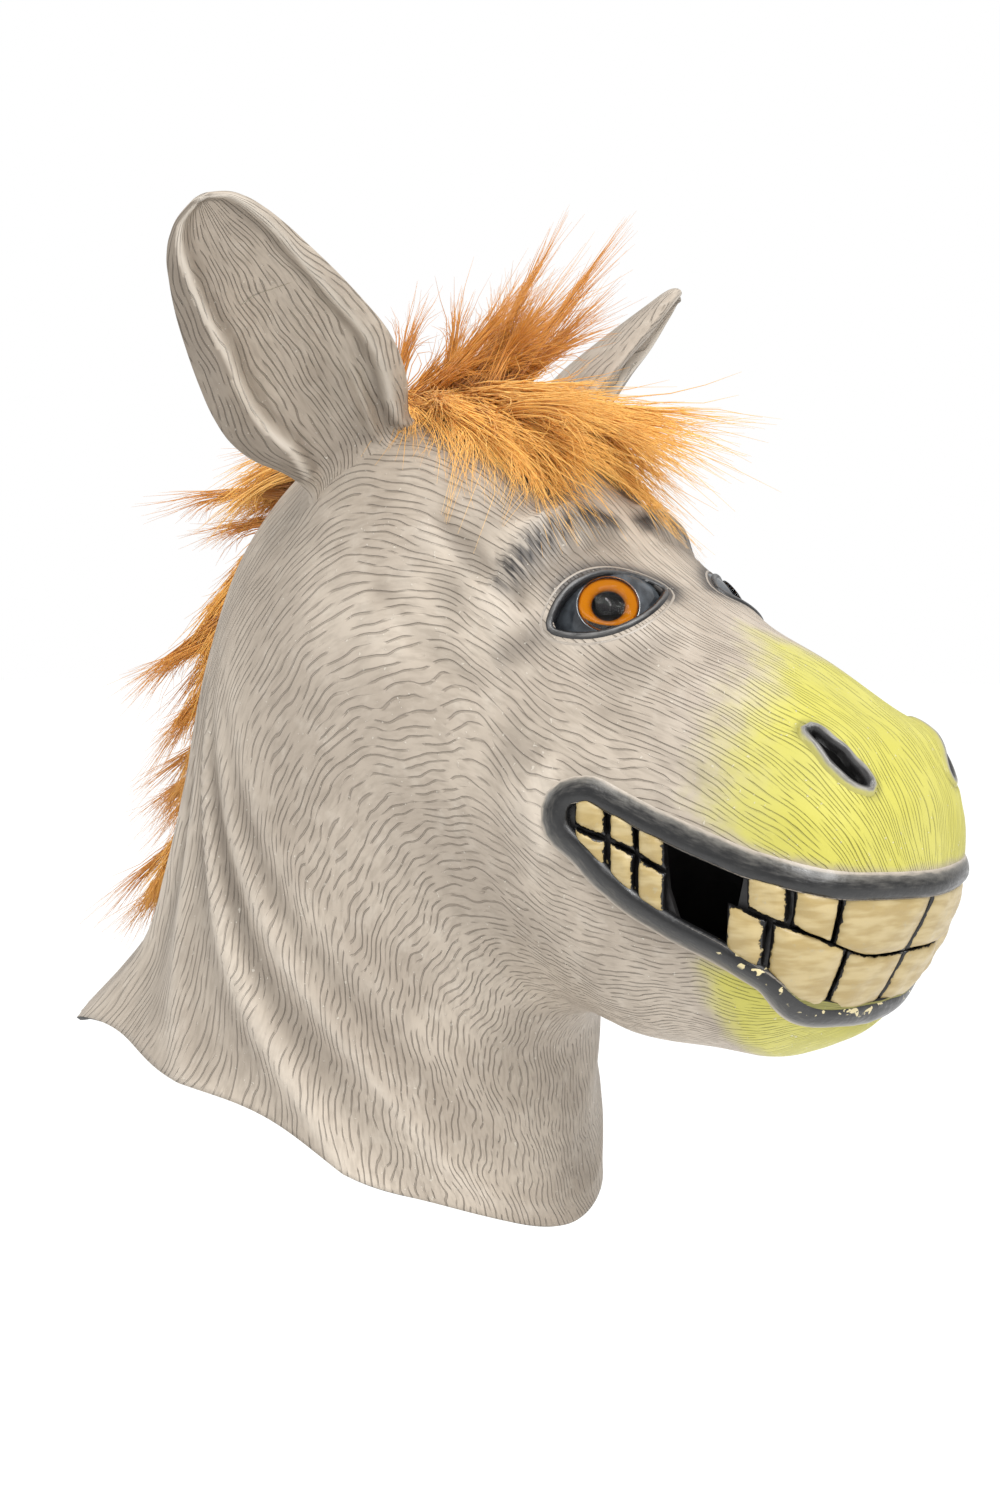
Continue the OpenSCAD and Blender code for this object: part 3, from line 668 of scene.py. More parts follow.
def make_skin():
    """The sheet of skin, cut open at the mouth, the eyes and the nostrils."""
    gap = np.minimum(np.minimum(from_mouth(skin), from_eye(skin)), from_nostril(skin))
    points, level = skin[:, :-1].copy(), gap[:, :-1].copy()
    claim = np.full(level.shape, 1e9)
    moved = points.copy()
    zero = np.zeros(level.shape, bool)
    for axis in (0, 1):
        other, other_level = np.roll(points, -1, axis), np.roll(level, -1, axis)
        cross = level * other_level < 0
        if axis == 0:
            cross[-1] = False
        for i, j in zip(*np.nonzero(cross)):
            far = ((i + 1) % level.shape[0], j) if axis == 0 else (i, (j + 1) % level.shape[1])
            here, there = level[i, j], other_level[i, j]
            place = points[i, j] + (other[i, j] - points[i, j]) * here / (here - there)
            who = (i, j) if abs(here) < abs(there) else far
            shift = np.linalg.norm(place - points[who])
            zero[who] = True
            if shift < claim[who]:
                claim[who] = shift
                moved[who] = place
    level[zero] = 0
    moved = np.concatenate([moved, moved[:, :1]], 1)
    level = np.concatenate([level, level[:, :1]], 1)
    # UVs in mm, across the coat and along it; they slant a little on the way to the muzzle.
    length = length_along(skin[:, COLUMNS // 4])
    flow = np.stack([phi_columns / 360 * 470 + t_rows * 40, length[:, None] * np.ones(COLUMNS + 1)], -1)
    marks = paint_marks(skin)
    # Painted shade in the folds, by how deep they lie; paler paint on what stands proud, dry-brushing and painted
    # highlight both.
    marks["hollow"], marks["worn"] = hollows()
    marks["worn"] = marks["worn"] * 0.3
    marks["level"] = level
    mesh = laid_grid("mask_skin", moved, flow, marks)
    bm = bmesh.new()
    bm.from_mesh(mesh)
    layer = bm.verts.layers.float["level"]
    none = 1e-6
    for face in list(bm.faces):
        values = [v[layer] for v in face.verts]
        if max(values) > none and min(values) < -none:
            on_edge = [v for v in face.verts if abs(v[layer]) <= none]
            if len(on_edge) == 2:
                bmesh.utils.face_split(face, on_edge[0], on_edge[1])
    bmesh.ops.delete(bm, geom=[f for f in bm.faces if min(v[layer] for v in f.verts) < -none
                               or max(v[layer] for v in f.verts) <= none], context="FACES")
    bmesh.ops.delete(bm, geom=[v for v in bm.verts if not v.link_faces], context="VERTS")
    bmesh.ops.recalc_face_normals(bm, faces=bm.faces)
    bm.to_mesh(mesh)
    bm.free()
    return mesh


skin_paint = latex_skin()
SKIN_WALL = 2.0
mask_skin = shown("mask_skin", make_skin(), skin_paint, inside_coat())
walled(mask_skin, SKIN_WALL, inner=1)


# ---------------------------------------------------------------- beads round openings
def bead(name, loop, ways, profile, marks, down_to=None):
    """A moulded edge: a profile of (out, up) steps swept round a loop of places on the skin."""
    n = len(loop)
    run = unit(np.roll(loop, -1, 0) - np.roll(loop, 1, 0))
    out = unit(np.cross(run, ways))
    if ((loop - loop.mean(0)) * out).sum() < 0:
        out = -out
    rows = []
    for step_out, step_up in profile:
        row = loop + out * step_out
        if step_out > 1.5:
            resting = np.array([on_skin(place)[0] for place in row])
            row = row + (resting - row) * min(1, (step_out - 1.5) / 2)
        rows.append(row + ways * step_up)
    if down_to is not None:
        rows.extend(down_to(rows[-1]))
    points = np.stack(rows, 1)
    points = np.concatenate([points, points[:1]], 0)
    count = points.shape[1]
    length = length_along(points[:, 0])
    width = np.arange(count) * 1.2
    flow = np.stack([width[None, :] * np.ones((n + 1, 1)), length[:, None] * np.ones((1, count))], -1)
    marks = {k: np.asarray(v)[None, :] * np.ones((n + 1, 1)) if np.ndim(v) == 1 else np.asarray(v)
             for k, v in marks.items()}
    return laid_grid(name, points, flow, marks)


def smoothed(values, times):
    """The values round a loop, each evened out with its neighbours."""
    values = np.array(values, float)
    for _ in range(times):
        values = (np.roll(values, 1, 0) + 2 * values + np.roll(values, -1, 0)) / 4
    return values


# The muzzle is looked at from an upright line inside it: by bearing from the nose, and height.
HUB = 120.0
MOUTH_MIDDLE = -50.0


def muzzle_place(bearing, z):
    """The skin at a bearing and a height, or a little above where the ray would miss it."""
    way = (math.sin(math.radians(bearing)), -math.cos(math.radians(bearing)), 0)
    for rise in range(12):
        spot, facing = cast((0, -HUB, z + rise), way)
        if spot is not None:
            break
    return spot, facing


def side_reach(f, z):
    """How far out the skin is at a distance forward and a height."""
    a = math.degrees(math.atan2(z - FAN_UP, f - FAN_FORWARD))
    r = math.hypot(z - FAN_UP, f - FAN_FORWARD)
    back, throat, wide, square = [float(v) for v in page(a)]
    t = min(1, abs((r - (back + throat) / 2) / ((back - throat) / 2)))
    return wide * (1 - t**square) ** (1 / square)


def bearing_at(f, z):
    return math.degrees(math.atan2(side_reach(f, z), f - HUB))


def front_at(side, z):
    """The distance forward where the skin is a given distance from the middle."""
    low, high = 150.0, 262.0
    for _ in range(40):
        mid = (low + high) / 2
        a = math.degrees(math.atan2(z - FAN_UP, mid - FAN_FORWARD))
        inside = a > LIP_ANGLE and side_reach(mid, z) > side
        low, high = (mid, high) if inside else (low, mid)
    return low


def edge_place(bearing, column):
    """The place on the UPPER or the LOWER edge of the mouth at a bearing."""
    z = MOUTH_MIDDLE
    for _ in range(6):
        spot, way = muzzle_place(bearing, z)
        z = float(mouth_height(-spot[1], column)) + (1.0 if column == UPPER else -1.0)
    return spot, way


def make_lips():
    corner = bearing_at(134, -28)
    upper = [edge_place(bearing, UPPER) for bearing in np.linspace(-corner, corner, 150)]
    lower = [edge_place(bearing, LOWER) for bearing in np.linspace(corner, -corner, 150)]
    loop = smoothed([p[0] for p in upper + lower], 3)
    ways = unit(smoothed([p[1] for p in upper + lower], 8))
    profile = [(11.6, -1.3), (10.9, -0.6), (10.1, 0.0), (9.2, 0.5), (8.2, 1.0), (7.0, 1.4), (5.7, 1.6), (4.4, 1.6),
               (3.0, 1.4), (1.6, 1.0), (0.4, 0.3), (-0.5, -0.8), (-0.6, -2.2), (0.4, -3.2)]
    proud = [1.0, 1.0, 1.0, 0.9, 0.65, 0.45, 0.35, 0.25, 0.15, 0.1, 0.05, 0.0, 0.0, 0.0]
    fade = [1.0, 1.0, 0.85, 0.55, 0.2, 0.0, 0, 0, 0, 0, 0, 0, 0, 0]
    # Cream paint has strayed onto the front of the lower lip.
    smear = np.zeros((len(loop) + 1, len(profile)))
    for k in range(len(upper) + 1, len(loop) + 1):
        if loop[k % len(loop)][1] < -195:
            smear[k, 8:12] = 1.0
    return bead("lips", loop, ways, profile, {"proud": proud, "smear": smear, "fade": fade})


lips = shown("lips", make_lips(),
             dry_brushed("charcoal_latex_lips", "#131314", "#68655f", "#b0a597", smears="#cdbf93"))


def make_lids():
    half = math.sqrt(LID_ARC**2 - LID_APART**2)
    upper = [(half * s, LID_APART - math.sqrt(LID_ARC**2 - (half * s)**2)) for s in np.linspace(-1, 1, 49)]
    places = []
    for u, v in upper + [(u, -v) for u, v in upper[::-1][1:-1]]:
        u, v = tilted(u, v, -EYE_TILT)
        places.append(cast(EYE_CENTRE + EYE_SIDE * u + EYE_DOWN * v + EYE_OUT * 80, -EYE_OUT))
    loop, ways = smoothed([p[0] for p in places], 2), unit(smoothed([p[1] for p in places], 6))
    profile = [(6.6, -1.0), (5.9, -0.4), (5.1, 0.0), (4.3, 0.1), (3.7, -0.2), (3.1, -0.5), (2.6, 0.0), (2.0, 0.6),
               (1.4, 0.9), (0.7, 0.9), (0.1, 0.5), (-0.4, -0.2)]
    proud = [0.1, 0.1, 0.1, 0.0, 0.0, 0.0, 0.05, 0.35, 0.6, 0.55, 0.1, 0.0, 0.0, 0.0]
    fade = [1.0, 1.0, 0.95, 0.75, 0.45, 0.15, 0, 0, 0, 0, 0, 0, 0, 0]

    def to_dome(row):
        """Two more rows, down to the dome of the eye."""
        q = row - EYE_CENTRE
        across = q - (q @ EYE_OUT)[:, None] * EYE_OUT
        height = np.sqrt(np.maximum((EYE_RADIUS + 0.05)**2 - (across**2).sum(1), 1))
        seat = EYE_CENTRE + across + height[:, None] * EYE_OUT
        deeper = np.minimum((row - seat) @ EYE_OUT, 8)
        return [row - EYE_OUT * down[:, None] for down in (deeper * 0.5, deeper + 0.6)]

    return bead("right_eyelids", loop, ways, profile, {"proud": proud, "fade": fade}, down_to=to_dome)


lids = list(both_sides("eyelids", make_lids(), dry_brushed("grey_latex_lids", "#111113", "#747270")))


def make_nostril():
    s = np.linspace(0, 1, 25)
    k = s * (len(NOSTRIL) - 1)
    i = np.minimum(k.astype(int), len(NOSTRIL) - 2)
    corners = np.array(NOSTRIL)
    centre = corners[i] + (corners[i + 1] - corners[i]) * (k - i)[:, None]
    for _ in range(4):
        centre[1:-1] = (centre[:-2] + 2 * centre[1:-1] + centre[2:]) / 4
    spots, ways = [np.array(found) for found in zip(*[on_skin(c) for c in centre])]
    out = np.cross(unit(np.gradient(spots, axis=0)), ways)
    half = 0.5 + 2.3 * np.sin(np.pi * s) ** 0.8 * (0.45 + 0.9 * s) + 0.3 * np.sin(17 * s)
    loop = np.concatenate([spots + out * half[:, None], (spots - out * half[:, None])[::-1]])
    faces = np.concatenate([ways, ways[::-1]])
    profile = [(5.4, -0.9), (4.6, 0.1), (3.8, 0.8), (2.9, 1.3), (2.1, 1.4), (1.2, 1.1), (0.4, 0.4), (-0.2, -1.0),
               (-0.2, -4.0)]
    proud = [0.9, 0.9, 0.9, 0.8, 0.65, 0.4, 0.1, 0.0, 0.0]
    fade = [1.0, 1.0, 0.85, 0.5, 0.2, 0.05, 0, 0, 0]
    return bead("right_nostril", smoothed(loop, 2), smoothed(faces, 6), profile, {"proud": proud, "fade": fade})


nostrils = list(both_sides("nostril_rim", make_nostril(),
                           dry_brushed("grey_latex_nostrils", "#262525", "#98958f", "#aaa455")))


# ---------------------------------------------------------------- teeth
def bite_height(f):
    return float(np.interp(f, [b[0] for b in BITE], [b[1] for b in BITE]))


TOOTH_STEPS = 14


def make_tooth(from_bearing, to_bearing, upper, seed):
    """One tooth: a pillow with a ragged outline, laid over the jaw between two bearings."""
    n = TOOTH_STEPS
    points = np.zeros((n + 1, n + 1, 3))
    edge = np.zeros((n + 1, n + 1))
    wide = abs(to_bearing - from_bearing)
    column, up = (UPPER, 1) if upper else (LOWER, -1)
    for i in range(n + 1):
        for j in range(n + 1):
            u, v = i / n, j / n
            bearing = from_bearing + (to_bearing - from_bearing) * u
            far_edge = edge_place(bearing, column)[0][2] + 1.6 * up
            z = MOUTH_MIDDLE
            for _ in range(3):
                p, way = muzzle_place(bearing, z)
                bite = bite_height(-p[1]) + 0.6 * up
                z = bite + (far_edge - bite) * v
            cu, cv = 2 * u - 1, 2 * v - 1
            pillow = (1 - abs(cu)**4) * (1 - abs(cv)**5)
            bump = noise.noise(Vector((p[0] * 0.16 + seed, p[1] * 0.16, p[2] * 0.16)))
            points[i, j] = p + way * (-1.5 + 2.7 * pillow + 0.8 * bump * pillow)
            span = 0.5 * wide * math.radians(1) * math.hypot(p[0], -p[1] - HUB)
            tall = 0.5 * abs(float(mouth_height(-p[1], column)) - bite)
            edge[i, j] = min((1 - abs(cu)) * span, (1 - abs(cv)) * max(tall, 3) if v < 0.5 else 9)
    return laid_grid("tooth", points, None, {"edge": edge})


# The three teeth behind the missing ones, by distance forward.
BACK_TEETH = [(137, 150), (150, 161), (161, 173.5)]
teeth_paint = tooth_paint()


def back_teeth(upper):
    """The right side's teeth behind the missing ones."""
    return [make_tooth(-bearing_at(near + 0.7, bite_height(near + 0.7)),
                       -bearing_at(far - 0.7, bite_height(far - 0.7)), upper, k * 3.1)
            for k, (near, far) in enumerate(BACK_TEETH)]


def front_teeth(upper):
    """Three teeth on each side of the middle, split at places given from the side or from the middle."""
    split = 43 if upper else 33
    first, second = (203.5, 221.5) if upper else (196, 214)
    f_split = front_at(split, -62 if upper else -84)
    stops = [bearing_at(first + 0.6, bite_height(first)), bearing_at(second, bite_height(second)),
             math.degrees(math.atan2(split, f_split - HUB)), 0.0]
    meshes = []
    for side in (-1, 1):
        for k in range(3):
            near, far = stops[k] - 0.35, stops[k + 1] + 0.35
            meshes.append(make_tooth(side * near, side * far, upper, 11.3 * k + side))
    return meshes


TOOTH_WALL = 2.6


def finish_teeth(name, meshes):
    piece = joined(name + "_painted", meshes, teeth_paint)
    walled(piece, TOOTH_WALL)
    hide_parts(name)
    return piece


teeth = []
for row, upper in (("upper", True), ("lower", False)):
    meshes = back_teeth(upper)
    teeth.append(finish_teeth(f"right_{row}_back_teeth", meshes))
    teeth.append(finish_teeth(f"left_{row}_back_teeth", [flipped(m) for m in meshes]))
for row, upper in (("upper", True), ("lower", False)):
    teeth.append(finish_teeth(row + "_front_teeth", front_teeth(upper)))


# ---------------------------------------------------------------- eyes
SPUN_STEPS = 72


def spun(name, outline, marks=None):
    """A shape turned about the eye's axis from an outline of (radius, height), in mm."""
    phi = np.linspace(0, 2 * np.pi, SPUN_STEPS + 1)
    outline = np.asarray(outline, float)
    down = np.ones((SPUN_STEPS + 1, 1))
    around = np.cos(phi)[:, None] * EYE_SIDE + np.sin(phi)[:, None] * EYE_DOWN
    points = EYE_CENTRE + outline[None, :, 0, None] * around[:, None, :] + outline[None, :, 1, None] * EYE_OUT
    flow = np.stack([phi[:, None] * 12 * np.ones((1, len(outline))), outline[None, :, 0] * down], -1)
    return laid_grid(name, points, flow, {k: np.asarray(v)[None, :] * down for k, v in (marks or {}).items()})


def both_eyes(name, mesh, material, node):
    for side, piece in zip(("right", "left"), both_sides(name, mesh, material)):
        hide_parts(f"{side}_{node}")
        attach(piece, "head")


def arc(radius, first, last, count):
    """Part of the outline of a ball, by angles from its front."""
    return [(radius * math.sin(s), radius * math.cos(s)) for s in np.radians(np.linspace(first, last, count))]


# The radius of the iris, and the height of the seat that it lies on.
IRIS = 11.5
seat = math.sqrt(EYE_RADIUS**2 - IRIS**2) - 1.2
dome, inner = arc(EYE_RADIUS, 62, 25.5, 22), arc(EYE_RADIUS - 2, 28.5, 61, 14)
well = [(IRIS + 0.1, seat + 0.7), (IRIS + 0.1, seat - 1.0)]
shell_outline = dome + well + inner + [dome[0]]
both_eyes("eyeball", spun("eyeball", shell_outline), eye_white(), "eye_shell")
iris_rings = [(0.01, -1.0), (IRIS, -1.0), (IRIS, 0.35), (IRIS - 0.5, 0.6), (10.2, 0.62), (9.2, 0.5), (8.2, 0.35),
              (7.3, 0.1), (6.6, -0.25), (6.3, -0.4), (4, -0.4), (0.01, -0.4)]
iris_marks = {"outwards": [0, 1, 1, 0.98, 0.75, 0.55, 0.35, 0.2, 0.05, 0, 0, 0],
              "pupil": [0, 0, 0, 0, 0, 0, 0, 0, 0.35, 1, 1, 1]}
iris_outline = [(r, seat + h) for r, h in iris_rings]
both_eyes("iris", spun("iris", iris_outline, iris_marks), iris_paint(), "iris_disc")
cap = [(r, 3 + math.sqrt((EYE_RADIUS - 1.6)**2 - r**2)) for r in np.linspace(IRIS - 0.05, 0.01, 14)]
lens_outline = [(0.01, seat + 0.65), (IRIS - 0.3, seat + 0.65)] + cap
both_eyes("lens", spun("lens", lens_outline), clear_lens(), "eye_lens")

# ---------------------------------------------------------------- ears
EAR_ROOT = np.array([-54, -13, 114.0])
EAR_ALONG = np.array([-0.733, -0.128, 0.668])
EAR_ACROSS = np.array([0.524, -0.733, 0.434])
EAR_FACING = np.array([-0.434, -0.667, -0.606])
EAR_LENGTH = 131.0
# Share of the length, half width, sideways offset, hollow, half thickness.
EAR_ROWS = np.array([
    [-0.20, 33, -2, 0, 15], [-0.12, 28.5, -1, 0.5, 13], [-0.05, 26, 0, 1.5, 11.5], [0.00, 25.5, -0.5, 3, 10.5],
    [0.08, 29.5, -1.5, 8, 9], [0.16, 34.5, -2.5, 13, 7.2], [0.26, 38, -3, 17, 6], [0.38, 38.5, -3, 18, 5.4],
    [0.50, 36, -3.5, 16, 5], [0.62, 32.5, -4, 13, 4.7], [0.73, 28.5, -4.5, 10, 4.4], [0.82, 24.5, -4.5, 7, 4.2],
    [0.89, 20.5, -4.5, 5, 4], [0.94, 16, -4, 3.5, 3.8], [0.975, 10.5, -3.5, 2, 3.4], [1.00, 2.5, -3, 0, 1.5]])


EAR_SLOPES = np.gradient(EAR_ROWS, EAR_ROWS[:, 0], axis=0)
# How wide the rolled edges of the ear are, behind and in front, and the foam's distance from the wall.
FLAP, BAND = 15.0, 8.5
FOAM_INSET, FOAM_BACK = 4.8, 2.6


def ear_row(s):
    """Half width, offset, hollow and half thickness, smoothly, at shares of the length."""
    i = np.clip(np.searchsorted(EAR_ROWS[:, 0], s, side="right") - 1, 0, len(EAR_ROWS) - 2)
    return between_rows(EAR_ROWS, EAR_SLOPES, i, s)


def roll_size(s):
    """How big the rolled edges are along the ear: less at its root and its tip."""
    return np.clip((1.02 - s) / 0.5, 0.12, 1) ** 0.7 * np.clip((s + 0.05) / 0.2, 0.2, 1)


def rolled(far, width, height):
    """A rounded roll of a width along an edge, seen at a distance from that edge."""
    ramp = np.sin(np.pi / 2 * np.clip(far / width, 0, 1))
    drop = np.exp(-(np.maximum(far - width, 0) / 2.6)**2)
    return height * np.where(far < width, ramp, drop)


def ear_points(s, phi, inset=0.0):
    """Points of the ear at shares of its length and angles round it; plain within it, at an inset."""
    wide, offset, hollow, thick = ear_row(s)
    c, n = np.cos(np.radians(phi)), np.sin(np.radians(phi))
    u = np.maximum(wide - inset, 0.5) * c
    v = np.maximum(thick - inset, 0.3) * np.sign(n) * np.abs(n) ** 0.85
    if inset == 0:
        # Inside, both edges are rolled over: a broad flap behind and a narrower band in front, and a fold
        # rises near the front edge at the root.
        shape = roll_size(s)
        inside = (v * 0.5 + 0.2 + rolled(wide + u, FLAP * shape, 7.5 * shape)
                  + rolled(wide - u, BAND * shape, 5.0 * shape))
        line = 0.40 + 0.25 * s
        ridge = np.exp(-((u / wide - line) * wide / 2.8)**2) * np.exp(-((s - 0.14) / 0.17)**2)
        inside = inside + 5.0 * ridge
        wave = np.sin(u * 0.35 + s * 9) * 0.5 + np.sin(u * 0.17 - s * 14) * 0.6
        inside = inside + wave * np.clip(s * 4, 0, 1) * np.clip((1 - s) * 4, 0, 1) * (1 - np.abs(c)**4)
        soft = np.clip(n * 4, 0, 1)
        v = np.where(n > 0, v * (1 - soft) + inside * soft, v)
    bend = hollow * (1 - (u / wide)**2)
    x = v - bend + hollow * 0.4
    return (EAR_ROOT + x[..., None] * EAR_FACING + (u + offset)[..., None] * EAR_ACROSS
            + (s * EAR_LENGTH)[..., None] * EAR_ALONG)


def make_ear():
    """The right ear's skin, closed at its tip, on a foot that runs into the head."""
    n_along, n_round, foot = 110, 160, 14
    phi_round = np.linspace(0, 360, n_round + 1)
    share = 0.07 + 0.93 * (1 - (1 - np.linspace(0, 1, n_along + 1)) ** 1.15)
    s = share[:, None] * np.ones(n_round + 1)
    phi = phi_round[None, :] * np.ones((n_along + 1, 1))
    points = ear_points(s, phi)
    # The foot of the ear flares out and runs into the skin of the head.
    low = ear_points(np.zeros(n_round + 1), phi_round)
    axis = low[:-1].mean(0)
    hold, rest = [], []
    for k in range(n_round + 1):
        spot, _ = on_skin(low[k], 0.6)
        away = low[k] - axis
        away = away / np.linalg.norm(away)
        hold.append(spot)
        rest.append(on_skin(spot + away * 10, -0.7)[0])
    hold, rest = smoothed(hold[:-1], 10), smoothed(rest[:-1], 10)
    hold, rest = np.concatenate([hold, hold[:1]]), np.concatenate([rest, rest[:1]])
    tau = np.linspace(1, 0, foot + 1)[:-1, None, None]
    curve = (1 - tau)**2 * points[0] + 2 * tau * (1 - tau) * hold + tau**2 * rest
    points = np.concatenate([curve, points])
    s = np.concatenate([np.linspace(-0.12, 0.07, foot + 1)[:-1, None] * np.ones(n_round + 1), s])
    phi = np.concatenate([phi[:foot], phi])
    points[:, -1] = points[:, 0]
    points[-1] = points[-1].mean(0)
    flow = np.stack([np.cos(np.radians(phi)) * 34 + (phi > 180) * 150, s * EAR_LENGTH], -1)
    inside = (np.sin(np.radians(phi)) > 0) & (s > 0.02)
    c = np.cos(np.radians(phi))
    wide = ear_row(np.clip(s, 0, 1))[0]
    shape = roll_size(s)
    behind, before = wide * (1 + c) - FLAP * shape, wide * (1 - c) - BAND * shape
    # Painted shade: dark lines just inside both rolled edges, the broad flap behind darker, the whole inside a little
    # darker, and a painted shadow where the ear meets the head. Along the crests of the rolls, paler paint that is
    # dry-brushing and painted highlight both.
    deep = 0.8 * np.exp(-((behind - 4.0) / 2.4)**2) + 1.1 * np.exp(-((before - 4.0) / 2.2)**2)
    crest = np.exp(-(behind / 1.7)**2) + 0.8 * np.exp(-(before / 2.0)**2)
    flap = (behind < -2) * 0.85
    hollow = np.where(inside, np.clip(deep * 0.85 + flap + 0.1, 0, 1), 0.0) + np.exp(-((s - 0.02) / 0.06)**2) * 0.4
    zero = np.zeros_like(s)
    marks = {"hollow": np.clip(hollow, 0, 1), "worn": np.where(inside, np.clip(crest, 0, 1), 0),
             "muzzle": zero, "shade": zero, "brow": zero}
    return laid_grid("right_ear_skin", points, flow, marks)


def make_foam():
    """The thin pad between the two walls of the ear."""
    s = np.linspace(0.12, 0.62, 41)[:, None] * np.ones(65)
    phi = np.linspace(0, 360, 65)[None, :] * np.ones((41, 1))
    points = ear_points(s, phi, FOAM_INSET) - EAR_FACING * FOAM_BACK
    points[:, -1] = points[:, 0]
    for end in (0, -1):
        points[end] = points[end].mean(0)
    return laid_grid("right_ear_foam", points, np.stack([phi / 6, s * EAR_LENGTH], -1))


ear_skins = both_sides("ear_skin", make_ear(), skin_paint)
ear_foams = both_sides("ear_foam", make_foam(), foam())
for side, across, skin_piece, foam_piece in zip(("right", "left"), (1, -1), ear_skins, ear_foams):
    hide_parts(f"{side}_ear")
    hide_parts(f"{side}_ear_core")
    mirror = np.array([across, 1, 1])
    start = (EAR_ROOT - EAR_ALONG * 4) * mirror * MM
    end = (EAR_ROOT + EAR_ALONG * 34) * mirror * MM
    for piece in (skin_piece, foam_piece):
        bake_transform(piece, "head", f"{side}_ear", start=tuple(start), end=tuple(end))


# ---------------------------------------------------------------- fur
BACKING_LIFT, BACKING_WALL, FUR_ROOT_LIFT = 2.1, 1.6, 2.4


def round_of(a, side):
    """The angle round the page where the skin is a given distance to one side."""
    _, _, wide, square = page(a * np.ones_like(side))
    s = np.clip(side / wide, -0.98, 0.98)
    return np.degrees(np.arcsin(np.sign(s) * np.abs(s) ** (square / 2)))


FORELOCK_ANGLES = [112.5, 111.5, 110, 108, 106, 104, 102.5, 101.5]
FORELOCK_WIDTHS = [10, 20, 27, 31, 31, 28, 20, 10]
MANE_ANGLES = [148, 146, 117, 114.4]
MANE_WIDTHS = [7.5, 15, 15, 7.5]
BACKING_STEPS = 48, 20
cloth = woven_backing()
for name, node, at, widths in (("forelock_cloth", "forelock_backing", FORELOCK_ANGLES, FORELOCK_WIDTHS),
                               ("mane_cloth", "mane_backing", MANE_ANGLES, MANE_WIDTHS)):
    a = np.linspace(at[0], at[-1], BACKING_STEPS[0] + 1)[:, None]
    half = np.interp(a, at[::-1], widths[::-1])
    side = np.linspace(-1, 1, BACKING_STEPS[1] + 1)[None, :] * half
    points = skin_points(a * np.ones_like(side), round_of(a, side), -BACKING_LIFT)
    flow = np.stack([side, a * 5 * np.ones_like(side)], -1)
    piece = shown(name, laid_grid(name, points, flow), cloth)
    walled(piece, BACKING_WALL)
    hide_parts(node)
    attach(piece, "head")


TAPER = np.array([0.75, 1.0, 0.95, 0.8, 0.6, 0.38, 0.12])


def strands(name, paths, tones, width_mm, material):
    """Fine tapered fibres: each path is a row of places in mm, thick at its root."""
    curve = bpy.data.curves.new(name, "CURVE")
    curve.dimensions = "3D"
    curve.bevel_depth = MM
    curve.bevel_resolution = 0
    curve.resolution_u = 1
    curve.use_fill_caps = False
    count = len(TAPER)
    for path, width in zip(paths, width_mm):
        spline = curve.splines.new("POLY")
        spline.points.add(count - 1)
        spline.points.foreach_set("co", np.concatenate([path * MM, np.ones((count, 1))], 1).ravel())
        spline.points.foreach_set("radius", TAPER * width / 2)
    holder = bpy.data.objects.new(name + "_paths", curve)
    bpy.context.scene.collection.objects.link(holder)
    mesh = bpy.data.meshes.new_from_object(holder.evaluated_get(bpy.context.evaluated_depsgraph_get()))
    bpy.data.objects.remove(holder)
    ring = len(mesh.vertices) // (len(paths) * count)
    along = np.tile(np.repeat(np.linspace(0, 1, count), ring), len(paths))
    tone = np.repeat(tones, ring * count)
    for key, value in (("along", along), ("tone", tone)):
        layer = mesh.attributes.new(key, "FLOAT", "POINT")
        layer.data.foreach_set("value", value.astype(np.float32))
    mesh.materials.clear()
    return shown(name, mesh, material)


def lock(root, way, reach, bend, count, spread_root, spread_tip, droop, wild):
    """A tuft: strands from round a root that sweep to a point, most of them together."""
    tip_spin = rng.normal(0, 1, (count, 3))
    roots = root + rng.normal(0, 1, (count, 3)) * spread_root
    long = rng.uniform(0.62, 1.12, count)[:, None]
    tips = reach * long + tip_spin * spread_tip
    paths = []
    for s in np.linspace(0, 1, len(TAPER)):
        lift = way * bend * math.sin(math.pi * min(1, s * 1.1) * 0.5) * (1 - 0.35 * s)
        curl = rng.normal(0, wild, (count, 3)) * s
        place = roots + tips * s + lift + np.array([0, 0, -droop]) * s**2 + curl
        gather = 1 - 0.55 * math.sin(math.pi * s)
        centre = root + reach * s + lift + np.array([0, 0, -droop]) * s**2
        paths.append(centre + (place - centre) * gather)
    return np.stack(paths, 1)


def above_skin(paths, clear):
    """Pushes every place of each strand that lies in the skin, but for its root, out to a clearance."""
    flat = paths.reshape(-1, 3)
    for k in range(len(flat)):
        if k % len(TAPER) == 0:
            continue
        spot, way = on_skin(flat[k])
        rise = (flat[k] - spot) @ way
        if rise < clear:
            flat[k] = spot + way * (clear + rng.uniform(0, 2.5))
    return flat.reshape(paths.shape)


# The fur stays inside this box, in mm, and clear of the skin.
FUR_LOW, FUR_HIGH = np.array([-172, -270, -224]), np.array([172, 221, 222])
FUR_CLEAR = 2.5
DENSE = 1.0


def fur_piece(name, locks, width, material):
    paths = above_skin(np.concatenate([strand for strand, _ in locks]), FUR_CLEAR)
    tones = np.concatenate([np.full(len(strand), tone) for strand, tone in locks])
    tones = np.clip(tones + rng.normal(0, 0.16, len(paths)), 0, 1)
    widths = rng.uniform(0.75, 1.2, len(paths)) * width
    return strands(name, np.clip(paths, FUR_LOW, FUR_HIGH), tones, widths, material)


def amount(n):
    return max(3, int(n * DENSE))


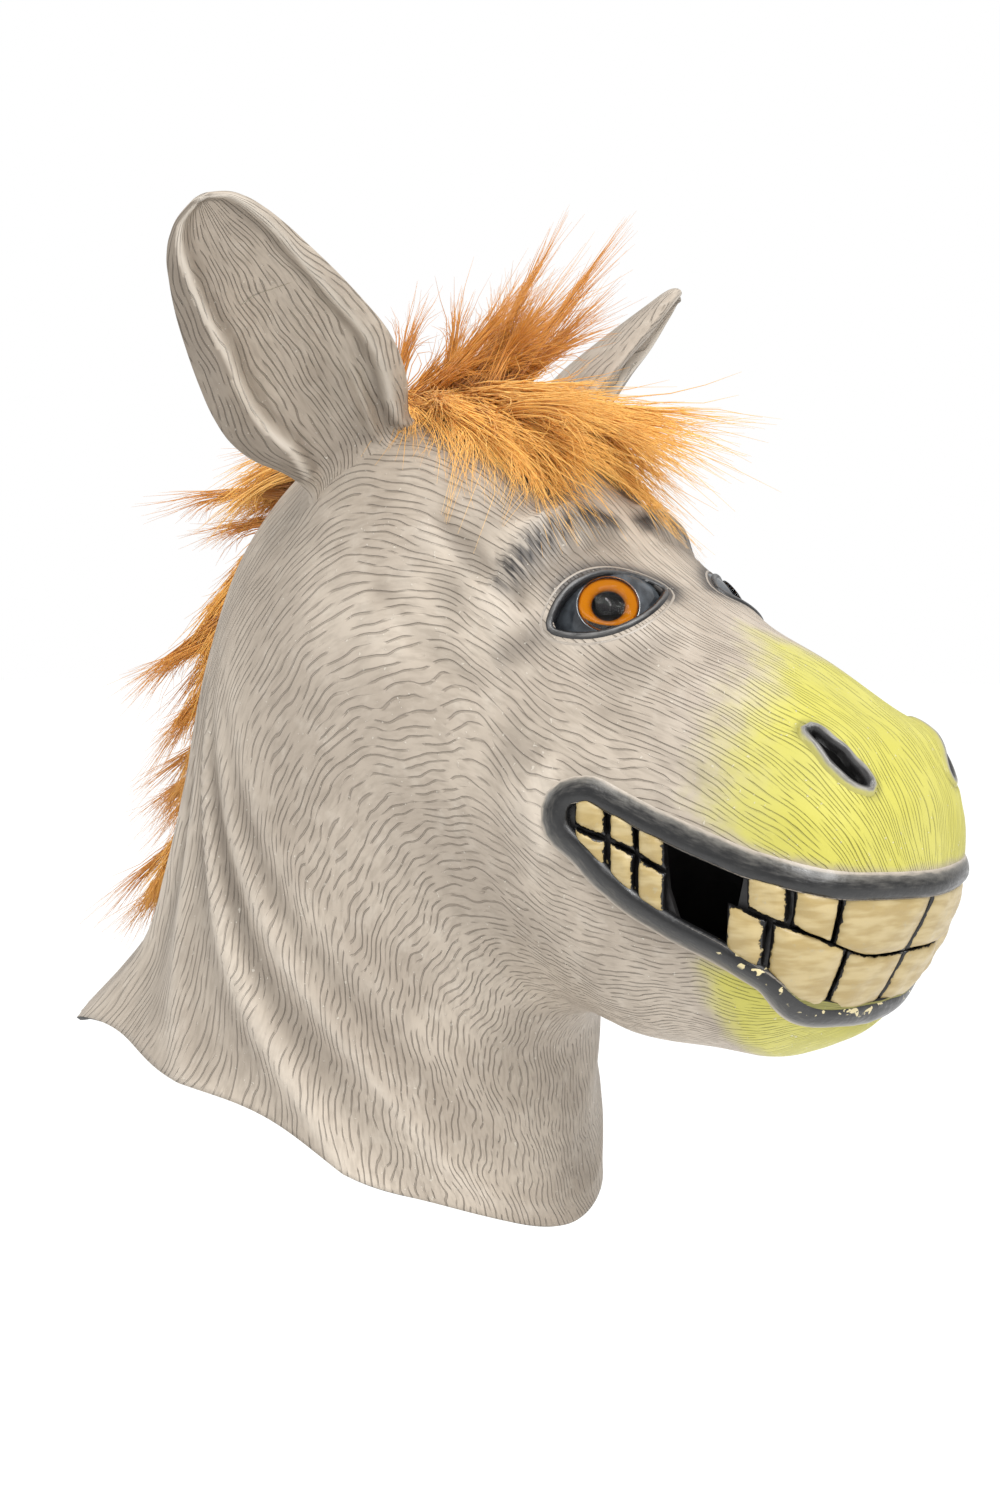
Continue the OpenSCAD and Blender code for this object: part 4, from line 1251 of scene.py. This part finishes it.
def fur_root(a, side):
    """Where a tuft stands on its backing, and the way the skin faces there."""
    root = skin_points(np.array(a), round_of(np.array(a), np.array(float(side))), -FUR_ROOT_LIFT)
    return root, on_skin(root)[1]


# How each kind of tuft rises, droops and spreads, its tone, and how many strands it has.
FORELOCK_KINDS = {"up": (2, 2, 6.5, 0.35, 58), "over": (6, 14, 8.0, 0.62, 58), "brow": (3, 10, 6.0, 0.6, 58),
                  "side": (5, 8, 5, 0.5, 58), "hang": (2, 8, 5.0, 0.7, 22)}
MANE_KINDS = {"close": (15, 4, 4.0, 0.5, 52), "wild": (8, 8, 4.0, 0.38, 52)}


def forelock(kind, count):
    bend, droop, spread, tone, strand_count = FORELOCK_KINDS[kind]
    locks = []
    for _ in range(count):
        if kind == "up":
            a, side = rng.uniform(105.0, 111.5), rng.uniform(-20, 20)
            tall = rng.uniform(0.35, 1.0) ** 1.6
            reach = np.array([rng.uniform(0, 30) - side * 0.3, rng.uniform(-46, 2), 14 + 40 * tall])
        elif kind == "over":
            a, side = rng.uniform(101.8, 111.5), rng.uniform(-28, 28)
            reach = np.array([-side * 0.3 + rng.uniform(-12, 22), rng.uniform(-84, -36), rng.uniform(-26, 4)])
        elif kind == "brow":
            a, side = rng.uniform(101.6, 110.5), rng.uniform(-30, 30)
            reach = np.array([-side * 0.5 + rng.uniform(-8, 14), rng.uniform(-50, -12), rng.uniform(-46, -20)])
        elif kind == "hang":
            away = rng.choice([-1, 1, 1])
            a, side = rng.uniform(103, 108.5), away * rng.uniform(16, 28)
            reach = np.array([-away * rng.uniform(2, 16), rng.uniform(-60, -32), rng.uniform(-62, -34)])
        else:
            a, side = rng.uniform(104, 111), rng.choice([-1, 1]) * rng.uniform(20, 30)
            reach = np.array([-side * 0.7, rng.uniform(-34, -4), rng.uniform(-24, 8)])
        half = np.interp(a, FORELOCK_ANGLES[::-1], FORELOCK_WIDTHS[::-1])
        root, way = fur_root(a, np.clip(side, -half + 3, half - 3))
        own_tone = tone + rng.normal(0, 0.15)
        locks.append((lock(root, way, reach, bend, amount(strand_count), 2.3, spread, droop, 0.7), own_tone))
    return locks


def mane(kind, count):
    bend, droop, spread, tone, strand_count = MANE_KINDS[kind]
    locks = []
    for _ in range(count):
        a = rng.uniform(114.6, 147.0)
        side = rng.uniform(-12.5, 12.5)
        root, way = fur_root(a, side)
        below, _ = fur_root(a + 3, side)
        down = (below - root) / np.linalg.norm(below - root)
        if kind == "close":
            reach = down * rng.uniform(40, 66) + way * rng.uniform(6, 16) + np.array([-side * 0.4, 0, 0])
        else:
            reach = down * rng.uniform(30, 72) + way * rng.uniform(22, 58) + np.array([rng.uniform(-34, 34), 0, 0])
        own_tone = tone + rng.normal(0, 0.15)
        locks.append((lock(root, way, reach, bend, amount(strand_count), 2.2, spread, droop, 0.7), own_tone))
    return locks


golden = fur_fibre("golden_fur_fibre", "#c08030", "#eaa840", "#ffcd74")
burnt = fur_fibre("burnt_fur_fibre", "#a36422", "#cf882e", "#efae4e")
# Two long stray tufts stand up from the forelock.
spikes = []
for root_at, reach in (((-6, -34, 152), (24, -34, 74)), ((2, -44, 150), (38, -40, 72))):
    root, way = on_skin(np.array(root_at, float), 2.0)
    spikes.append((lock(root, way, np.array(reach, float), 2, amount(40), 1.6, 2.6, 0, 0.5), 0.2))
# Each piece of fur: its name, its tufts, the width of a strand, its colour, and what it replaces.
PIECES = [
    ("forelock_over", forelock("over", 46), 0.62, golden, "forelock_fur"),
    ("forelock_brow", forelock("brow", 26) + forelock("side", 8) + forelock("hang", 15), 0.5, golden, "forelock_fur"),
    ("forelock_up", forelock("up", 21) + spikes, 0.5, burnt, "forelock_fur"),
    ("mane_close", mane("close", 76), 0.64, golden, "mane_fur"),
    ("mane_tufts", mane("wild", 40), 0.48, burnt, "mane_fur")]
for name, locks, width, material, node in PIECES:
    piece = fur_piece(name, locks, width, material)
    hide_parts(node)
    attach(piece, "head")

# ---------------------------------------------------------------- what stays of the CAD model
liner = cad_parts["gum_liner"]
liner.data.materials.clear()
liner.data.materials.append(gum_latex())
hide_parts("head_skin")
latex_pieces = [mask_skin, lips, *lids, *nostrils]
for piece in latex_pieces + teeth:
    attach(piece, "head")

# ---------------------------------------------------------------- studio
FLOOR_HEIGHT, FLOOR_HALF = -0.7, 30.0
bm = bmesh.new()
bmesh.ops.create_grid(bm, x_segments=8, y_segments=8, size=FLOOR_HALF)
bmesh.ops.translate(bm, vec=(0, 0, FLOOR_HEIGHT), verts=bm.verts)
floor_mesh = bpy.data.meshes.new("floor")
bm.to_mesh(floor_mesh)
bm.free()
floor = shown("floor", floor_mesh, floor_paint())

# The backdrop shows white, and lights the mask a little less than that.
WORLD_LIGHT, WORLD_SEEN = 0.58, 1.0
world = bpy.data.worlds.new("studio")
bpy.context.scene.world = world
world.use_nodes = True
background = world.node_tree.nodes["Background"]
background.inputs["Color"].default_value = (1, 1, 1, 1)
background.inputs["Strength"].default_value = WORLD_LIGHT
seen = add(world.node_tree, "LightPath").outputs["Is Camera Ray"]
strength = ranged(world.node_tree, seen, 0.0, 1.0, WORLD_LIGHT, WORLD_SEEN)
world.node_tree.links.new(strength, background.inputs["Strength"])


def set_up(name, data, at, way):
    """A lamp or a camera at a place, looking one way."""
    thing = bpy.data.objects.new(name, data)
    thing.location = at
    thing.rotation_euler = Vector(way).to_track_quat("-Z", "Y").to_euler()
    bpy.context.scene.collection.objects.link(thing)
    return thing


def lamp(name, at, towards, size, power):
    light = bpy.data.lights.new(name, "AREA")
    light.size = size
    light.energy = power
    set_up(name, light, at, Vector(towards) - Vector(at))


sky = bpy.data.lights.new("overhead", "SUN")
sky.energy = 2.1
sky.angle = math.radians(50)
set_up("overhead", sky, (0, 0, 0), (0.35, 0.45, -1))
lamp("key", (-0.5, -1.6, 1.15), (0, -0.05, 0.0), 0.7, 15)
lamp("glint", (-0.62, -0.56, 1.0), (-0.04, -0.13, 0.05), 0.12, 2.0)
lamp("rim", (-1.2, 1.0, 0.7), (0, 0.05, 0.0), 0.6, 3.5)

VIEW_TARGET = Vector((0, -0.045, -0.010))
VIEW_TURN, VIEW_TILT, VIEW_DISTANCE = math.radians(40), math.radians(3), 0.900
camera_data = bpy.data.cameras.new("camera")
camera_data.sensor_fit = "VERTICAL"
camera_data.sensor_height = 36
camera_data.lens = 51
from_target = Vector((-math.cos(VIEW_TURN) * math.cos(VIEW_TILT), -math.sin(VIEW_TURN) * math.cos(VIEW_TILT),
                      math.sin(VIEW_TILT))) * VIEW_DISTANCE
bpy.context.scene.camera = set_up("camera", camera_data, VIEW_TARGET + from_target, -from_target)
bpy.context.scene.view_settings.view_transform = "Standard"
